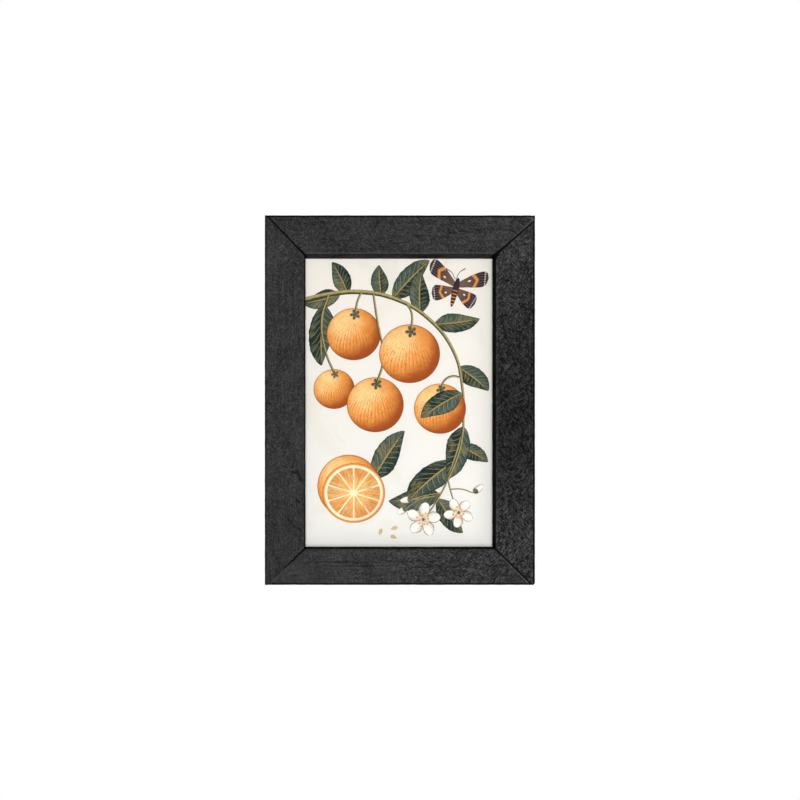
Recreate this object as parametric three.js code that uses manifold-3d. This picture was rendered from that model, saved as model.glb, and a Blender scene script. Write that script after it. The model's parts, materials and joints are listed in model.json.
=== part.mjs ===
// A framed print: four mitred black wood rails around a 20 by 30 cm print under glass,
// closed at the back by a card and a hardboard that six turn buttons hold in.
// Millimetres. X runs across, Z is up, the face looks along -Y and the wall is on the +Y side.
// The origin is the middle notch of the sawtooth hanger, in the plane of the rails' backs.
import * as THREE from 'three';
import { mergeVertices } from 'three/addons/utils/BufferGeometryUtils.js';
import Module from 'manifold-3d';

const wasm = await Module();
wasm.setup();

// Rails
const outerWidth = 269.6;
const outerHeight = 368.8;
const railDepth = 28;
const sideRailWidth = 39.8;
const topRailWidth = 39.6;
const bottomRailWidth = 36.2;
const faceArris = 1.2;
const backArris = 0.8;
const mitreGap = 0.3;

// Sheets in the rebate, front to back, each this far from the next
const sheetWidth = 200;
const sheetHeight = 300;
const sheetPlay = 1;
const sheetDrop = 0.7;
const seatGap = 0.3;
const glassThickness = 2;
const printThickness = 0.3;
const cardThickness = 1.5;
const boardThickness = 3;
const rebateDepth = glassThickness + printThickness + cardThickness + boardThickness + 4 * seatGap;

// Turn buttons and their screws
const buttonHeelRadius = 5;
const buttonTipRadius = 4;
const buttonReach = 15;
const buttonThickness = 1.2;
const buttonInset = 6;
const buttonSpread = 85;
const screwRadius = 1.25;
const screwLength = 12;
const screwPoint = 2;
const screwHeadRadius = 2.8;
const screwHeadHeight = 1.6;
const screwHeadRim = 0.7;
const screwCrownRadius = 2;
const screwCrownHeight = 1.4;
const recessWidth = 0.7;
const recessLength = 2.8;
const recessDepth = 0.9;

// Sawtooth hanger and its nails
const hangerHalfLength = 30;
const hangerHeight = 9;
const hangerThickness = 0.8;
const hangerStandOff = 2;
const hangerEdgeRadius = 3;
const hangerBelowTop = 3;
const hangerFootInner = 21;
const hangerRamp = 2;
const hangerProud = hangerStandOff + hangerThickness;
const toothPitch = 3;
const toothDepth = 2;
const teethEachSide = 5;
const nailSpread = 25.5;
const nailRadius = 0.75;
const nailLength = 13;
const nailPoint = 1.5;
const nailHeadRadius = 2;
const nailHeadHeight = 0.8;
const nailCrownRadius = 1.4;
const nailCrownHeight = 0.65;

// Corner nails, bent to a right angle and driven across each mitre from the back
const cornerNailArm = 7;
const cornerNailThickness = 0.7;
const cornerNailDepth = 10;
const cornerNailPlaces = [0.42, 0.72];

// Bumpers that keep the frame off the wall
const bumperRadius = 5;
const bumperHeight = 4;
const bumperRound = 0.8;
const bumperFromSide = 34;
const bumperFromBottom = 11;

// Facets and the overshoot of cutting solids
const arcSegments = 4;
const tipSegments = 12;
const roundSegments = 16;
const cutOver = 1;

// Places that follow from the above, measured from the middle of the frame
const sightTop = outerHeight / 2 - topRailWidth;
const sightBottom = -outerHeight / 2 + bottomRailWidth;
const sightSide = outerWidth / 2 - sideRailWidth;
const sightMiddle = (sightTop + sightBottom) / 2;
const rebateSide = sheetWidth / 2 + sheetPlay;
const rebateTop = sightMiddle + sheetHeight / 2 + sheetPlay;
const rebateBottom = sightMiddle - sheetHeight / 2 - sheetPlay;
const hangerLow = outerHeight / 2 - hangerBelowTop - hangerHeight;
const notchHeight = hangerLow + toothDepth;
const quarterTurn = Math.PI / 2;

const finish = {
  blackWood: { color: 0x2b2a29, roughness: 0.78, metalness: 0 },
  glass: { color: 0xeef3f1, roughness: 0.05, metalness: 0, transparent: true, opacity: 0.2 },
  paper: { color: 0xefe9dc, roughness: 0.9, metalness: 0 },
  card: { color: 0xb9a583, roughness: 0.92, metalness: 0 },
  hardboard: { color: 0x7d5a3c, roughness: 0.8, metalness: 0 },
  zincSteel: { color: 0xb4b6b8, roughness: 0.38, metalness: 1 },
  brass: { color: 0xc3a05a, roughness: 0.35, metalness: 1 },
  felt: { color: 0x4b4a48, roughness: 1, metalness: 0 },
};

const framedPrint = new THREE.Group();
framedPrint.position.z = -notchHeight;

function addPiece(name, geometry, look) {
  const piece = new THREE.Mesh(geometry, new THREE.MeshStandardMaterial(look));
  piece.name = name;
  framedPrint.add(piece);
  return piece;
}

function toSolid(geometry) {
  const bare = geometry.clone();
  bare.deleteAttribute('normal');
  bare.deleteAttribute('uv');
  const joined = mergeVertices(bare);
  return new wasm.Manifold(new wasm.Mesh({
    numProp: 3,
    vertProperties: joined.attributes.position.array,
    triVerts: Uint32Array.from(joined.index.array),
  }));
}

function toGeometry(solid) {
  const { vertProperties, triVerts } = solid.getMesh();
  const geometry = new THREE.BufferGeometry();
  geometry.setAttribute('position', new THREE.BufferAttribute(vertProperties, 3));
  geometry.setIndex(new THREE.BufferAttribute(triVerts, 1));
  geometry.computeVertexNormals();
  return geometry;
}

function cutAll(solid, cutters) {
  return cutters.reduce((left, cutter) => left.subtract(toSolid(cutter)), solid);
}

// An outline drawn in X and Z, made solid from y = back forwards by depth
function plate(outline, back, depth) {
  const geometry = new THREE.ExtrudeGeometry(outline, {
    depth,
    bevelEnabled: false,
    curveSegments: arcSegments,
  });
  return geometry.rotateX(quarterTurn).translate(0, back, 0);
}

// A round hole along Y, from just behind y = back forwards to y = front
function boreAt(x, z, radius, back, front) {
  const length = back + cutOver - front;
  const bore = new THREE.CylinderGeometry(radius, radius, length, roundSegments);
  return bore.translate(x, front + length / 2, z);
}

// One solid of revolution about Y, whose profile starts and ends on the axis
function turned(profile) {
  return new THREE.LatheGeometry(profile.map(([r, y]) => new THREE.Vector2(r, y)), roundSegments);
}

// The four corners. The mitre starts at the sight corner, where the level rail is rise high, and
// meets the outer edge at tip: this far along the level rail's edge, and this far down the upright's.
const corners = {
  topLeft: { name: 'top_left', across: -1, up: 1, rise: topRailWidth, tip: [1.5, 0] },
  topRight: { name: 'top_right', across: 1, up: 1, rise: topRailWidth, tip: [0, 5] },
  bottomLeft: { name: 'bottom_left', across: -1, up: -1, rise: bottomRailWidth, tip: [3, 0] },
  bottomRight: { name: 'bottom_right', across: 1, up: -1, rise: bottomRailWidth, tip: [3, 0] },
};

// The four rails, each drawn level with its sight edge down and then turned about Y
const rails = [
  {
    name: 'rail_top',
    level: true,
    width: topRailWidth,
    length: outerWidth,
    start: corners.topLeft,
    end: corners.topRight,
    turn: 0,
    place: [0, sightTop],
    rebate: rebateTop - sightTop,
  },
  {
    name: 'rail_right',
    level: false,
    width: sideRailWidth,
    length: outerHeight,
    start: corners.topRight,
    end: corners.bottomRight,
    turn: quarterTurn,
    place: [sightSide, 0],
    rebate: rebateSide - sightSide,
  },
  {
    name: 'rail_bottom',
    level: true,
    width: bottomRailWidth,
    length: outerWidth,
    start: corners.bottomRight,
    end: corners.bottomLeft,
    turn: 2 * quarterTurn,
    place: [0, sightBottom],
    rebate: sightBottom - rebateBottom,
  },
  {
    name: 'rail_left',
    level: false,
    width: sideRailWidth,
    length: outerHeight,
    start: corners.bottomLeft,
    end: corners.topLeft,
    turn: -quarterTurn,
    place: [-sightSide, 0],
    rebate: rebateSide - sightSide,
  },
];

// A rail's section: x from the sight edge outwards, y from the face to the back
function railSection(width, rebate) {
  const face = -railDepth;
  const section = new THREE.Shape();
  section.moveTo(0, -rebateDepth);
  section.lineTo(0, face + faceArris);
  section.absarc(faceArris, face + faceArris, faceArris, Math.PI, 3 * quarterTurn, false);
  section.lineTo(width - faceArris, face);
  section.absarc(width - faceArris, face + faceArris, faceArris, 3 * quarterTurn, 4 * quarterTurn, false);
  section.lineTo(width, -backArris);
  section.lineTo(width - backArris, 0);
  section.lineTo(rebate, 0);
  section.lineTo(rebate, -rebateDepth);
  section.closePath();
  return section;
}

// How far the mitre has come in from the rail's end, at this distance from the sight edge
function mitreInset(distance, rail, corner) {
  const [along, down] = corner.tip;
  const neighbourWidth = rail.level ? sideRailWidth : corner.rise;
  const run = rail.width - (rail.level ? down : along);
  const fall = neighbourWidth - (rail.level ? along : down);
  const halfGap = (mitreGap / 2) * Math.hypot(run, fall) / run;
  return neighbourWidth - fall * distance / run + halfGap;
}

// The rail's outline seen from the front, in its own frame, a little proud of both long edges
function mitreOutline(rail) {
  const outline = new THREE.Shape();
  for (const distance of [-cutOver, rail.width + cutOver]) {
    const left = -rail.length / 2 + mitreInset(distance, rail, rail.start);
    const right = rail.length / 2 - mitreInset(distance, rail, rail.end);
    if (distance < 0) {
      outline.moveTo(left, distance);
      outline.lineTo(right, distance);
    } else {
      outline.lineTo(right, distance);
      outline.lineTo(left, distance);
    }
  }
  outline.closePath();
  return outline;
}

function buildRail(rail, cutters) {
  const [x, z] = rail.place;
  const bar = new THREE.ExtrudeGeometry(railSection(rail.width, rail.rebate), {
    depth: rail.length,
    bevelEnabled: false,
    curveSegments: arcSegments,
  });
  bar.translate(0, 0, -rail.length / 2).rotateY(rail.turn - quarterTurn).translate(x, 0, z);
  const ends = plate(mitreOutline(rail), cutOver, railDepth + 2 * cutOver);
  ends.rotateY(rail.turn).translate(x, 0, z);
  const mitred = toSolid(bar).intersect(toSolid(ends));
  addPiece(rail.name, toGeometry(cutAll(mitred, cutters)), finish.blackWood);
}

// Where each turn button is screwed on, and the turn about Y that points it at the sheets
const buttonPlaces = [
  { name: 'left_upper', x: -rebateSide - buttonInset, z: sightMiddle + buttonSpread, turn: 0 },
  { name: 'left_lower', x: -rebateSide - buttonInset, z: sightMiddle - buttonSpread, turn: 0 },
  { name: 'right_upper', x: rebateSide + buttonInset, z: sightMiddle + buttonSpread, turn: Math.PI },
  { name: 'right_lower', x: rebateSide + buttonInset, z: sightMiddle - buttonSpread, turn: Math.PI },
  { name: 'top', x: 0, z: rebateTop + buttonInset, turn: quarterTurn },
  { name: 'bottom', x: 0, z: rebateBottom - buttonInset, turn: -quarterTurn },
];

// A flat finger: a wide heel round the screw, straight sides and a smaller round tip
function buttonGeometry() {
  const tipCentre = buttonReach - buttonTipRadius;
  const tangent = Math.acos((buttonHeelRadius - buttonTipRadius) / tipCentre);
  const outline = new THREE.Shape();
  outline.absarc(0, 0, buttonHeelRadius, tangent, 2 * Math.PI - tangent, false);
  outline.absarc(tipCentre, 0, buttonTipRadius, -tangent, tangent, false);
  outline.closePath();
  const blank = new THREE.ExtrudeGeometry(outline, {
    depth: buttonThickness,
    bevelEnabled: false,
    curveSegments: tipSegments,
  });
  blank.rotateX(quarterTurn).translate(0, seatGap + buttonThickness, 0);
  const hole = boreAt(0, 0, screwRadius + seatGap, seatGap + buttonThickness, 0);
  return toGeometry(toSolid(blank).subtract(toSolid(hole)));
}

// A pan-head wood screw with a cross recess, its head just behind the button
function screwGeometry() {
  const underHead = 2 * seatGap + buttonThickness;
  const tip = underHead - screwLength;
  const top = underHead + screwHeadHeight;
  const blank = turned([
    [0, tip],
    [screwRadius, tip + screwPoint],
    [screwRadius, underHead],
    [screwHeadRadius, underHead],
    [screwHeadRadius, underHead + screwHeadRim],
    [screwCrownRadius, underHead + screwCrownHeight],
    [0, top],
  ]);
  const cuts = [[recessLength, recessWidth], [recessWidth, recessLength]].map(([across, up]) => {
    const cut = new THREE.BoxGeometry(across, recessDepth + cutOver, up);
    return cut.translate(0, top - recessDepth + (recessDepth + cutOver) / 2, 0);
  });
  return toGeometry(cutAll(toSolid(blank), cuts));
}

function addButtons() {
  for (const { name, x, z, turn } of buttonPlaces) {
    const button = addPiece(`turn_button_${name}`, buttonGeometry(), finish.zincSteel);
    button.position.set(x, 0, z);
    button.rotation.y = turn;
    addPiece(`button_screw_${name}`, screwGeometry(), finish.brass).position.set(x, 0, z);
  }
}

function screwHoles() {
  const front = 2 * seatGap + buttonThickness - screwLength - seatGap;
  return buttonPlaces.map(({ x, z }) => boreAt(x, z, screwRadius + seatGap, 0, front));
}

// The hanger: a strip whose middle stands off the rail, with teeth along its lower edge
function hangerBlank() {
  const inner = hangerFootInner - hangerRamp;
  const slope = hangerThickness * Math.tan(Math.atan2(hangerStandOff, hangerRamp) / 2);
  const profile = new THREE.Shape();
  profile.moveTo(-hangerHalfLength, 0);
  profile.lineTo(-hangerFootInner, 0);
  profile.lineTo(-inner, hangerStandOff);
  profile.lineTo(inner, hangerStandOff);
  profile.lineTo(hangerFootInner, 0);
  profile.lineTo(hangerHalfLength, 0);
  profile.lineTo(hangerHalfLength, hangerThickness);
  profile.lineTo(hangerFootInner + slope, hangerThickness);
  profile.lineTo(inner + slope, hangerProud);
  profile.lineTo(-inner - slope, hangerProud);
  profile.lineTo(-hangerFootInner - slope, hangerThickness);
  profile.lineTo(-hangerHalfLength, hangerThickness);
  profile.closePath();
  const strip = new THREE.ExtrudeGeometry(profile, { depth: hangerHeight, bevelEnabled: false });
  return strip.translate(0, 0, hangerLow);
}

// A cutting solid through the whole thickness of the strip
function throughStrip(outline) {
  return plate(outline, hangerProud + cutOver, hangerProud + 2 * cutOver);
}

function roundedEnds() {
  const high = hangerLow + hangerHeight;
  const round = hangerEdgeRadius;
  const side = hangerHalfLength - round;
  const outline = new THREE.Shape();
  outline.absarc(side, hangerLow + round, round, -quarterTurn, 0, false);
  outline.absarc(side, high - round, round, 0, quarterTurn, false);
  outline.absarc(-side, high - round, round, quarterTurn, Math.PI, false);
  outline.absarc(-side, hangerLow + round, round, Math.PI, 3 * quarterTurn, false);
  outline.closePath();
  return throughStrip(outline);
}

function toothCut() {
  const half = toothPitch / 2;
  const outline = new THREE.Shape();
  outline.moveTo(-toothPitch * teethEachSide - half, hangerLow - cutOver);
  for (let tooth = -teethEachSide; tooth <= teethEachSide; tooth += 1) {
    outline.lineTo(tooth * toothPitch - half, hangerLow);
    outline.lineTo(tooth * toothPitch, notchHeight);
  }
  outline.lineTo(toothPitch * teethEachSide + half, hangerLow);
  outline.lineTo(toothPitch * teethEachSide + half, hangerLow - cutOver);
  outline.closePath();
  return throughStrip(outline);
}

const hangerNailHeight = hangerLow + hangerHeight / 2;

function nailHoles(back, front) {
  const radius = nailRadius + seatGap;
  return [-nailSpread, nailSpread].map((x) => boreAt(x, hangerNailHeight, radius, back, front));
}

function addHanger() {
  const strip = toSolid(hangerBlank()).intersect(toSolid(roundedEnds()));
  const cuts = [toothCut(), ...nailHoles(hangerThickness, -cutOver)];
  addPiece('sawtooth_hanger', toGeometry(cutAll(strip, cuts)), finish.zincSteel);
  const underHead = hangerThickness + seatGap;
  const nail = turned([
    [0, underHead - nailLength],
    [nailRadius, underHead - nailLength + nailPoint],
    [nailRadius, underHead],
    [nailHeadRadius, underHead],
    [nailCrownRadius, underHead + nailCrownHeight],
    [0, underHead + nailHeadHeight],
  ]);
  for (const [side, x] of [['left', -nailSpread], ['right', nailSpread]]) {
    const piece = addPiece(`hanger_nail_${side}`, nail.clone(), finish.zincSteel);
    piece.position.set(x, 0, hangerNailHeight);
  }
}

// A right angle seen from the back, its point on the mitre and towards the corner, grown all round
function cornerNailOutline({ across, up, rise, tip: [along, down] }, place, grow) {
  const x = across * (sightSide + place * (sideRailWidth - along));
  const z = up * (outerHeight / 2 - rise + place * (rise - down));
  const arm = cornerNailArm + grow;
  const wall = cornerNailThickness + grow;
  const steps = [
    [grow, grow], [-arm, grow], [-arm, -wall], [-wall, -wall], [-wall, -arm], [grow, -arm],
  ];
  return new THREE.Shape(steps.map(([a, b]) => new THREE.Vector2(x + across * a, z + up * b)));
}

function addCornerNails() {
  for (const corner of Object.values(corners)) {
    cornerNailPlaces.forEach((place, i) => {
      const outline = cornerNailOutline(corner, place, 0);
      const nail = plate(outline, -seatGap, cornerNailDepth);
      addPiece(`corner_nail_${corner.name}_${i + 1}`, nail, finish.zincSteel);
    });
  }
}

function cornerSlots() {
  const depth = cornerNailDepth + 2 * seatGap + cutOver;
  return Object.values(corners).flatMap((corner) => cornerNailPlaces.map(
    (place) => plate(cornerNailOutline(corner, place, seatGap), cutOver, depth),
  ));
}

// Glass, print, card and hardboard, standing on the lower edge of the rebate
function addSheets() {
  let front = -rebateDepth + seatGap;
  const sheets = [
    ['glass_pane', glassThickness, finish.glass],
    ['art_print', printThickness, finish.paper],
    ['backing_card', cardThickness, finish.card],
    ['back_board', boardThickness, finish.hardboard],
  ];
  for (const [name, thickness, look] of sheets) {
    const sheet = new THREE.BoxGeometry(sheetWidth, thickness, sheetHeight);
    addPiece(name, sheet, look).position.set(0, front + thickness / 2, sightMiddle - sheetDrop);
    front += thickness + seatGap;
  }
}

function addBumpers() {
  const bumper = turned([
    [0, 0],
    [bumperRadius, 0],
    [bumperRadius, bumperHeight - bumperRound],
    [bumperRadius - bumperRound, bumperHeight],
    [0, bumperHeight],
  ]);
  const x = outerWidth / 2 - bumperFromSide;
  const z = -outerHeight / 2 + bumperFromBottom;
  addPiece('wall_bumper_left', bumper.clone(), finish.felt).position.set(-x, 0, z);
  addPiece('wall_bumper_right', bumper.clone(), finish.felt).position.set(x, 0, z);
}

const backCuts = [
  ...screwHoles(),
  ...nailHoles(0, hangerThickness - nailLength),
  ...cornerSlots(),
];
for (const rail of rails) {
  buildRail(rail, backCuts);
}
addSheets();
addButtons();
addHanger();
addCornerNails();
addBumpers();

export default framedPrint;
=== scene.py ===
"""A framed print: rough black mitred rails round a fruit print under glass, closed at the back.

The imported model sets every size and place. Lengths are millimetres unless a name says metres.
X runs to the right seen from the front, the face looks along -Y, the wall is at +Y and Z is up.
"""

import json
import math
import random

import bmesh
import bpy
import numpy as np
from bpy.props import FloatProperty, FloatVectorProperty, PointerProperty
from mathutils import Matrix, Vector


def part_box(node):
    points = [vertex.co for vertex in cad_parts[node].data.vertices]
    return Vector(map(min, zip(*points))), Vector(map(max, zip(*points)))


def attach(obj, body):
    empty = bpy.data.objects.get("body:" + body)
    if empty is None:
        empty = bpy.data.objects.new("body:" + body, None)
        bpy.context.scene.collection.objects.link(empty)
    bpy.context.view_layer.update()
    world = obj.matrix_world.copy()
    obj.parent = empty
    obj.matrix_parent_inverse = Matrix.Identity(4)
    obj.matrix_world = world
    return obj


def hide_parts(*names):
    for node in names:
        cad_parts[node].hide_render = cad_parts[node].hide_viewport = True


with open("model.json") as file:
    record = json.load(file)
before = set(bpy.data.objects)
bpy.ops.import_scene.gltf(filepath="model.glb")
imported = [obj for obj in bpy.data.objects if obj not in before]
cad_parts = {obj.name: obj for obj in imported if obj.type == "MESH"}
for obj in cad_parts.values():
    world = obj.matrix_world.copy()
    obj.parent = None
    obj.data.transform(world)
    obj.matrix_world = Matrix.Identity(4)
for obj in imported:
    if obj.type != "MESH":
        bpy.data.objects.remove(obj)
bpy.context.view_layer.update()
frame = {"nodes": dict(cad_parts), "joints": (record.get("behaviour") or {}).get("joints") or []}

bl_info = {
    "name": "Framed Print",
    "version": (1, 0, 0),
    "blender": (4, 5, 0),
    "location": "View3D > Sidebar > Framed Print",
    "description": "Builds a black wooden frame with its print, glass, back and fittings",
    "category": "Add Mesh",
}

MM = 0.001
QUARTER = math.pi / 2


def box_mm(node):
    """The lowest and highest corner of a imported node, in millimetres."""
    low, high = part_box(node)
    return low / MM, high / MM


def middle_of(node):
    """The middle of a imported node, in millimetres."""
    low, high = box_mm(node)
    return (low + high) / 2


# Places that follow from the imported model
OUTER_LEFT = box_mm("rail_left")[0].x
OUTER_RIGHT = box_mm("rail_right")[1].x
OUTER_TOP = box_mm("rail_top")[1].z
OUTER_BOTTOM = box_mm("rail_bottom")[0].z
SIGHT_LEFT = box_mm("rail_left")[1].x
SIGHT_RIGHT = box_mm("rail_right")[0].x
SIGHT_TOP = box_mm("rail_top")[0].z
SIGHT_BOTTOM = box_mm("rail_bottom")[1].z
FACE = box_mm("rail_top")[0].y
MIDDLE = Vector(((OUTER_LEFT + OUTER_RIGHT) / 2, 0, (OUTER_TOP + OUTER_BOTTOM) / 2))
SIGHT_HEIGHT = (SIGHT_TOP + SIGHT_BOTTOM) / 2
BUTTONS = ("left_upper", "left_lower", "right_upper", "right_lower", "top", "bottom")
CORNERS = ("top_left", "top_right", "bottom_left", "bottom_right")
NAILS = [f"corner_nail_{corner}_{number}" for corner in CORNERS for number in (1, 2)]
PAIR = ("left", "right")


def length_of(name, description, millimetres):
    """A length that a user can set."""
    return FloatProperty(
        name=name, description=description, default=millimetres * MM, unit="LENGTH", precision=4
    )


def share_of(name, description, share):
    """A number from 0 to 1 that a user can set."""
    return FloatProperty(name=name, description=description, default=share, min=0, max=1, subtype="FACTOR")


def colour_of(name, description, colour):
    """A colour that a user can set."""
    return FloatVectorProperty(
        name=name, description=description, default=colour, min=0, max=1, subtype="COLOR"
    )


def power_of(name, description, watts):
    """The power of a light that a user can set."""
    return FloatProperty(name=name, description=description, default=watts, min=0, unit="POWER")


class FRAMEDPRINT_PG_wood(bpy.types.PropertyGroup):
    """Sizes and colours of the rails."""

    arris: length_of("Arris", "Radius of the face's two long edges", 1.2)
    back_arris: length_of("Back arris", "Radius of the outer edge at the back", 0.8)
    mitre_arris: length_of("Mitre arris", "Radius of the edges on both sides of a mitre", 0.4)
    relief: length_of("Relief", "Depth of the tool marks and raised grain on the face", 0.5)
    hollow: colour_of("Hollows", "Stain in the hollows of the face", (0.003, 0.003, 0.0031))
    brushed: colour_of("Brushed grain", "Brushed fibres of the face", (0.068, 0.068, 0.0685))
    # This colour paints real stain and also the painted shade of the outer arrises, sight walls and mitre
    # gaps
    stain: colour_of("Stain", "Unbrushed sides and edges", (0.0042, 0.0042, 0.0044))
    wash: colour_of("Back wash", "Thin wash on the backs of the rails", (0.034, 0.024, 0.017))
    bare: colour_of("Bare wood", "Wood where the wash has worn thin", (0.11, 0.068, 0.038))


class FRAMEDPRINT_PG_print(bpy.types.PropertyGroup):
    """Colours of the print."""

    paper: colour_of("Paper", "Cream of the sheet", (0.788, 0.742, 0.69))
    cool_paper: colour_of("Lower paper", "Greyer cream low on the sheet", (0.748, 0.729, 0.696))
    blot: colour_of("Blots", "Faint blots on the sheet", (0.69, 0.648, 0.576))
    leaf_dark: colour_of("Leaf, dark", "Shaded half of a leaf", (0.012, 0.032, 0.03))
    leaf_light: colour_of("Leaf, light", "Lit half of a leaf", (0.13, 0.19, 0.15))
    vein: colour_of("Veins", "Veins and dry patches of a leaf", (0.36, 0.27, 0.1))
    fruit_deep: colour_of("Fruit, deep", "Shaded rim of a fruit", (0.36, 0.075, 0.012))
    fruit: colour_of("Fruit", "Body of a fruit", (0.76, 0.3, 0.06))
    fruit_light: colour_of("Fruit, light", "Lit side of a fruit", (0.87, 0.63, 0.27))
    bark: colour_of("Bark", "Lit side of a twig", (0.42, 0.34, 0.13))
    bark_dark: colour_of("Bark, dark", "Shaded side of a twig", (0.03, 0.045, 0.03))
    line: colour_of("Line", "Drawn outlines", (0.1, 0.045, 0.025))
    wing: colour_of("Wing", "Ground of the moth's wings", (0.035, 0.02, 0.032))


class FRAMEDPRINT_PG_back(bpy.types.PropertyGroup):
    """Sizes and colours of the glass, the back and its fittings."""

    edge: length_of("Worked edge", "Rounding of the metal's edges", 0.18)
    glass: colour_of("Glass", "Tint of the pane", (0.996, 0.999, 0.997))
    card: colour_of("Card", "Board behind the print", (0.4, 0.31, 0.2))
    board: colour_of("Hardboard", "Pressed fibre of the back", (0.17, 0.085, 0.04))
    board_dark: colour_of("Hardboard, dark", "Dark fibres of the back", (0.07, 0.032, 0.016))
    zinc: colour_of("Zinc", "Plated steel", (0.52, 0.52, 0.53))
    brass: colour_of("Brass", "Plating of the screws", (0.62, 0.42, 0.17))
    felt: colour_of("Felt", "Fibres of the bumpers", (0.075, 0.073, 0.07))


class FRAMEDPRINT_PG_stage(bpy.types.PropertyGroup):
    """The light and the floor."""

    front: power_of("Front light", "Light from beside the camera", 36)
    key: power_of("Key light", "Raking light from the lower right", 8)
    back: power_of("Back light", "Light on the wall side", 30)
    ambient: share_of("Ambient", "Even light from all round", 0.16)


def settings():
    """The four groups of settings of this scene."""
    return bpy.context.scene.framedprint


class FRAMEDPRINT_PG_all(bpy.types.PropertyGroup):
    """All settings of the framed print."""

    wood: PointerProperty(type=FRAMEDPRINT_PG_wood)
    art: PointerProperty(type=FRAMEDPRINT_PG_print)
    back: PointerProperty(type=FRAMEDPRINT_PG_back)
    stage: PointerProperty(type=FRAMEDPRINT_PG_stage)


class Value:
    """A socket whose Python operators add Math nodes to its material."""

    def __init__(self, finish, socket):
        self.finish = finish
        self.socket = socket

    def __add__(self, other):
        return self.finish.math("ADD", self, other)

    def __sub__(self, other):
        return self.finish.math("SUBTRACT", self, other)

    def __rsub__(self, other):
        return self.finish.math("SUBTRACT", other, self)

    def __mul__(self, other):
        return self.finish.math("MULTIPLY", self, other)

    def __truediv__(self, other):
        return self.finish.math("DIVIDE", self, other)

    def __pow__(self, other):
        return self.finish.math("POWER", self, other)

    __radd__ = __add__
    __rmul__ = __mul__


class Finish:
    """A material, or a world, made of nodes."""

    def __init__(self, name, owner=None):
        self.owner = owner or bpy.data.materials.new(name)
        self.owner.use_nodes = True
        self.tree = self.owner.node_tree
        self.tree.nodes.clear()

    def node(self, kind, options=None, sockets=None, output=0):
        """Adds a node, with its options first and then its sockets, and returns one of its outputs."""
        made = self.tree.nodes.new("ShaderNode" + kind)
        for name, option in (options or {}).items():
            setattr(made, name, option)
        for key, content in (sockets or {}).items():
            if isinstance(content, Value):
                self.tree.links.new(content.socket, made.inputs[key])
            else:
                made.inputs[key].default_value = content
        return Value(self, made.outputs[output])

    def math(self, operation, *values):
        return self.node("Math", {"operation": operation}, dict(enumerate(values)))

    def vector(self, operation, *values):
        return self.node("VectorMath", {"operation": operation}, dict(enumerate(values)))

    def scaled(self, vector, factor):
        return self.node("VectorMath", {"operation": "SCALE"}, {0: vector, "Scale": factor})

    def stretched(self, vector, x, y, z):
        return self.vector("MULTIPLY", vector, (x, y, z))

    def along(self, vector, axis):
        """One part of a vector: 0, 1 or 2."""
        return self.node("SeparateXYZ", {}, {0: vector}, axis)

    def joined(self, *parts):
        return self.node("CombineXYZ", {}, dict(enumerate(parts)))

    def absolute(self, value):
        return self.math("ABSOLUTE", value)

    def most(self, first, second):
        return self.math("MAXIMUM", first, second)

    def mix(self, factor, first, second):
        """From the first colour at 0 to the second at 1."""
        colours = [part if isinstance(part, Value) else (*part[:3], 1) for part in (first, second)]
        sockets = {0: factor, 6: colours[0], 7: colours[1]}
        return self.node("Mix", {"data_type": "RGBA"}, sockets, 2)

    def coats(self, colour, *coats):
        """Lays other colours over this one in turn, each as far as its mask says."""
        for mask, coat in coats:
            colour = self.mix(mask, colour, coat)
        return colour

    def smooth(self, value, low, high):
        """0 below low and 1 above high, with a smooth step between them."""
        sockets = {"Value": value, "From Min": low, "From Max": high}
        return self.node("MapRange", {"interpolation_type": "SMOOTHSTEP"}, sockets)

    def line(self, value, width):
        """1 where value is 0, gone at this width on both sides."""
        return 1 - self.smooth(self.absolute(value), width * 0.4, width)

    def saw(self, value):
        """How far value is from the nearest whole number."""
        return self.math("PINGPONG", value, 0.5)

    def noise(self, place, scale, detail=2.0, roughness=0.5, distortion=0.0):
        sockets = {"Vector": place, "Scale": scale, "Detail": detail}
        return self.node("TexNoise", {}, {**sockets, "Roughness": roughness, "Distortion": distortion})

    def spots(self, place, scale, randomness=1.0):
        """How far each point is from the middle of its cell, in cells."""
        return self.node("TexVoronoi", {}, {"Vector": place, "Scale": scale, "Randomness": randomness})

    def attribute(self, name, output="Fac"):
        return self.node("Attribute", {"attribute_name": name}, {}, output)

    def place(self):
        """Object coordinates in millimetres."""
        return self.scaled(self.node("TexCoord", {}, {}, "Object"), 1 / MM)

    def blade(self):
        """Where a point of a blade is: 0 to 1 along it, and -0.5 to 0.5 across."""
        uv = self.node("TexCoord", {}, {}, "UV")
        return self.along(uv, 0), self.along(uv, 1) - 0.5

    def disc(self):
        """Where a point of a disc is: -1 to 1 both ways."""
        flat = self.scaled(self.vector("SUBTRACT", self.node("TexCoord", {}, {}, "UV"), (0.5, 0.5, 0)), 2)
        return self.along(flat, 0), self.along(flat, 1)

    def bump(self, height, depth):
        """A normal from a height of 0 to 1 that stands for this depth in millimetres."""
        return self.node("Bump", {}, {"Height": height, "Distance": depth * MM, "Strength": 1.0})

    def blend(self, factor, first, second):
        """From the first shader at 0 to the second at 1."""
        return self.node("MixShader", {}, {0: factor, 1: first, 2: second})

    def show(self, shader, output="OutputMaterial"):
        """Makes this shader the surface, and returns the material or the world."""
        end = self.tree.nodes.new("ShaderNode" + output)
        self.tree.links.new(shader.socket, end.inputs["Surface"])
        return self.owner

    def shader(self, **sockets):
        """A Principled shader, with its sockets named in lower case with underscores."""
        named = {key.replace("_", " ").title().replace("Ior", "IOR"): sockets[key] for key in sockets}
        if not isinstance(named["Base Color"], Value):
            named["Base Color"] = (*named["Base Color"][:3], 1)
        return self.node("BsdfPrincipled", {}, named)

    def surface(self, **sockets):
        """A material that is one Principled shader."""
        return self.show(self.shader(**sockets))


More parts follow.
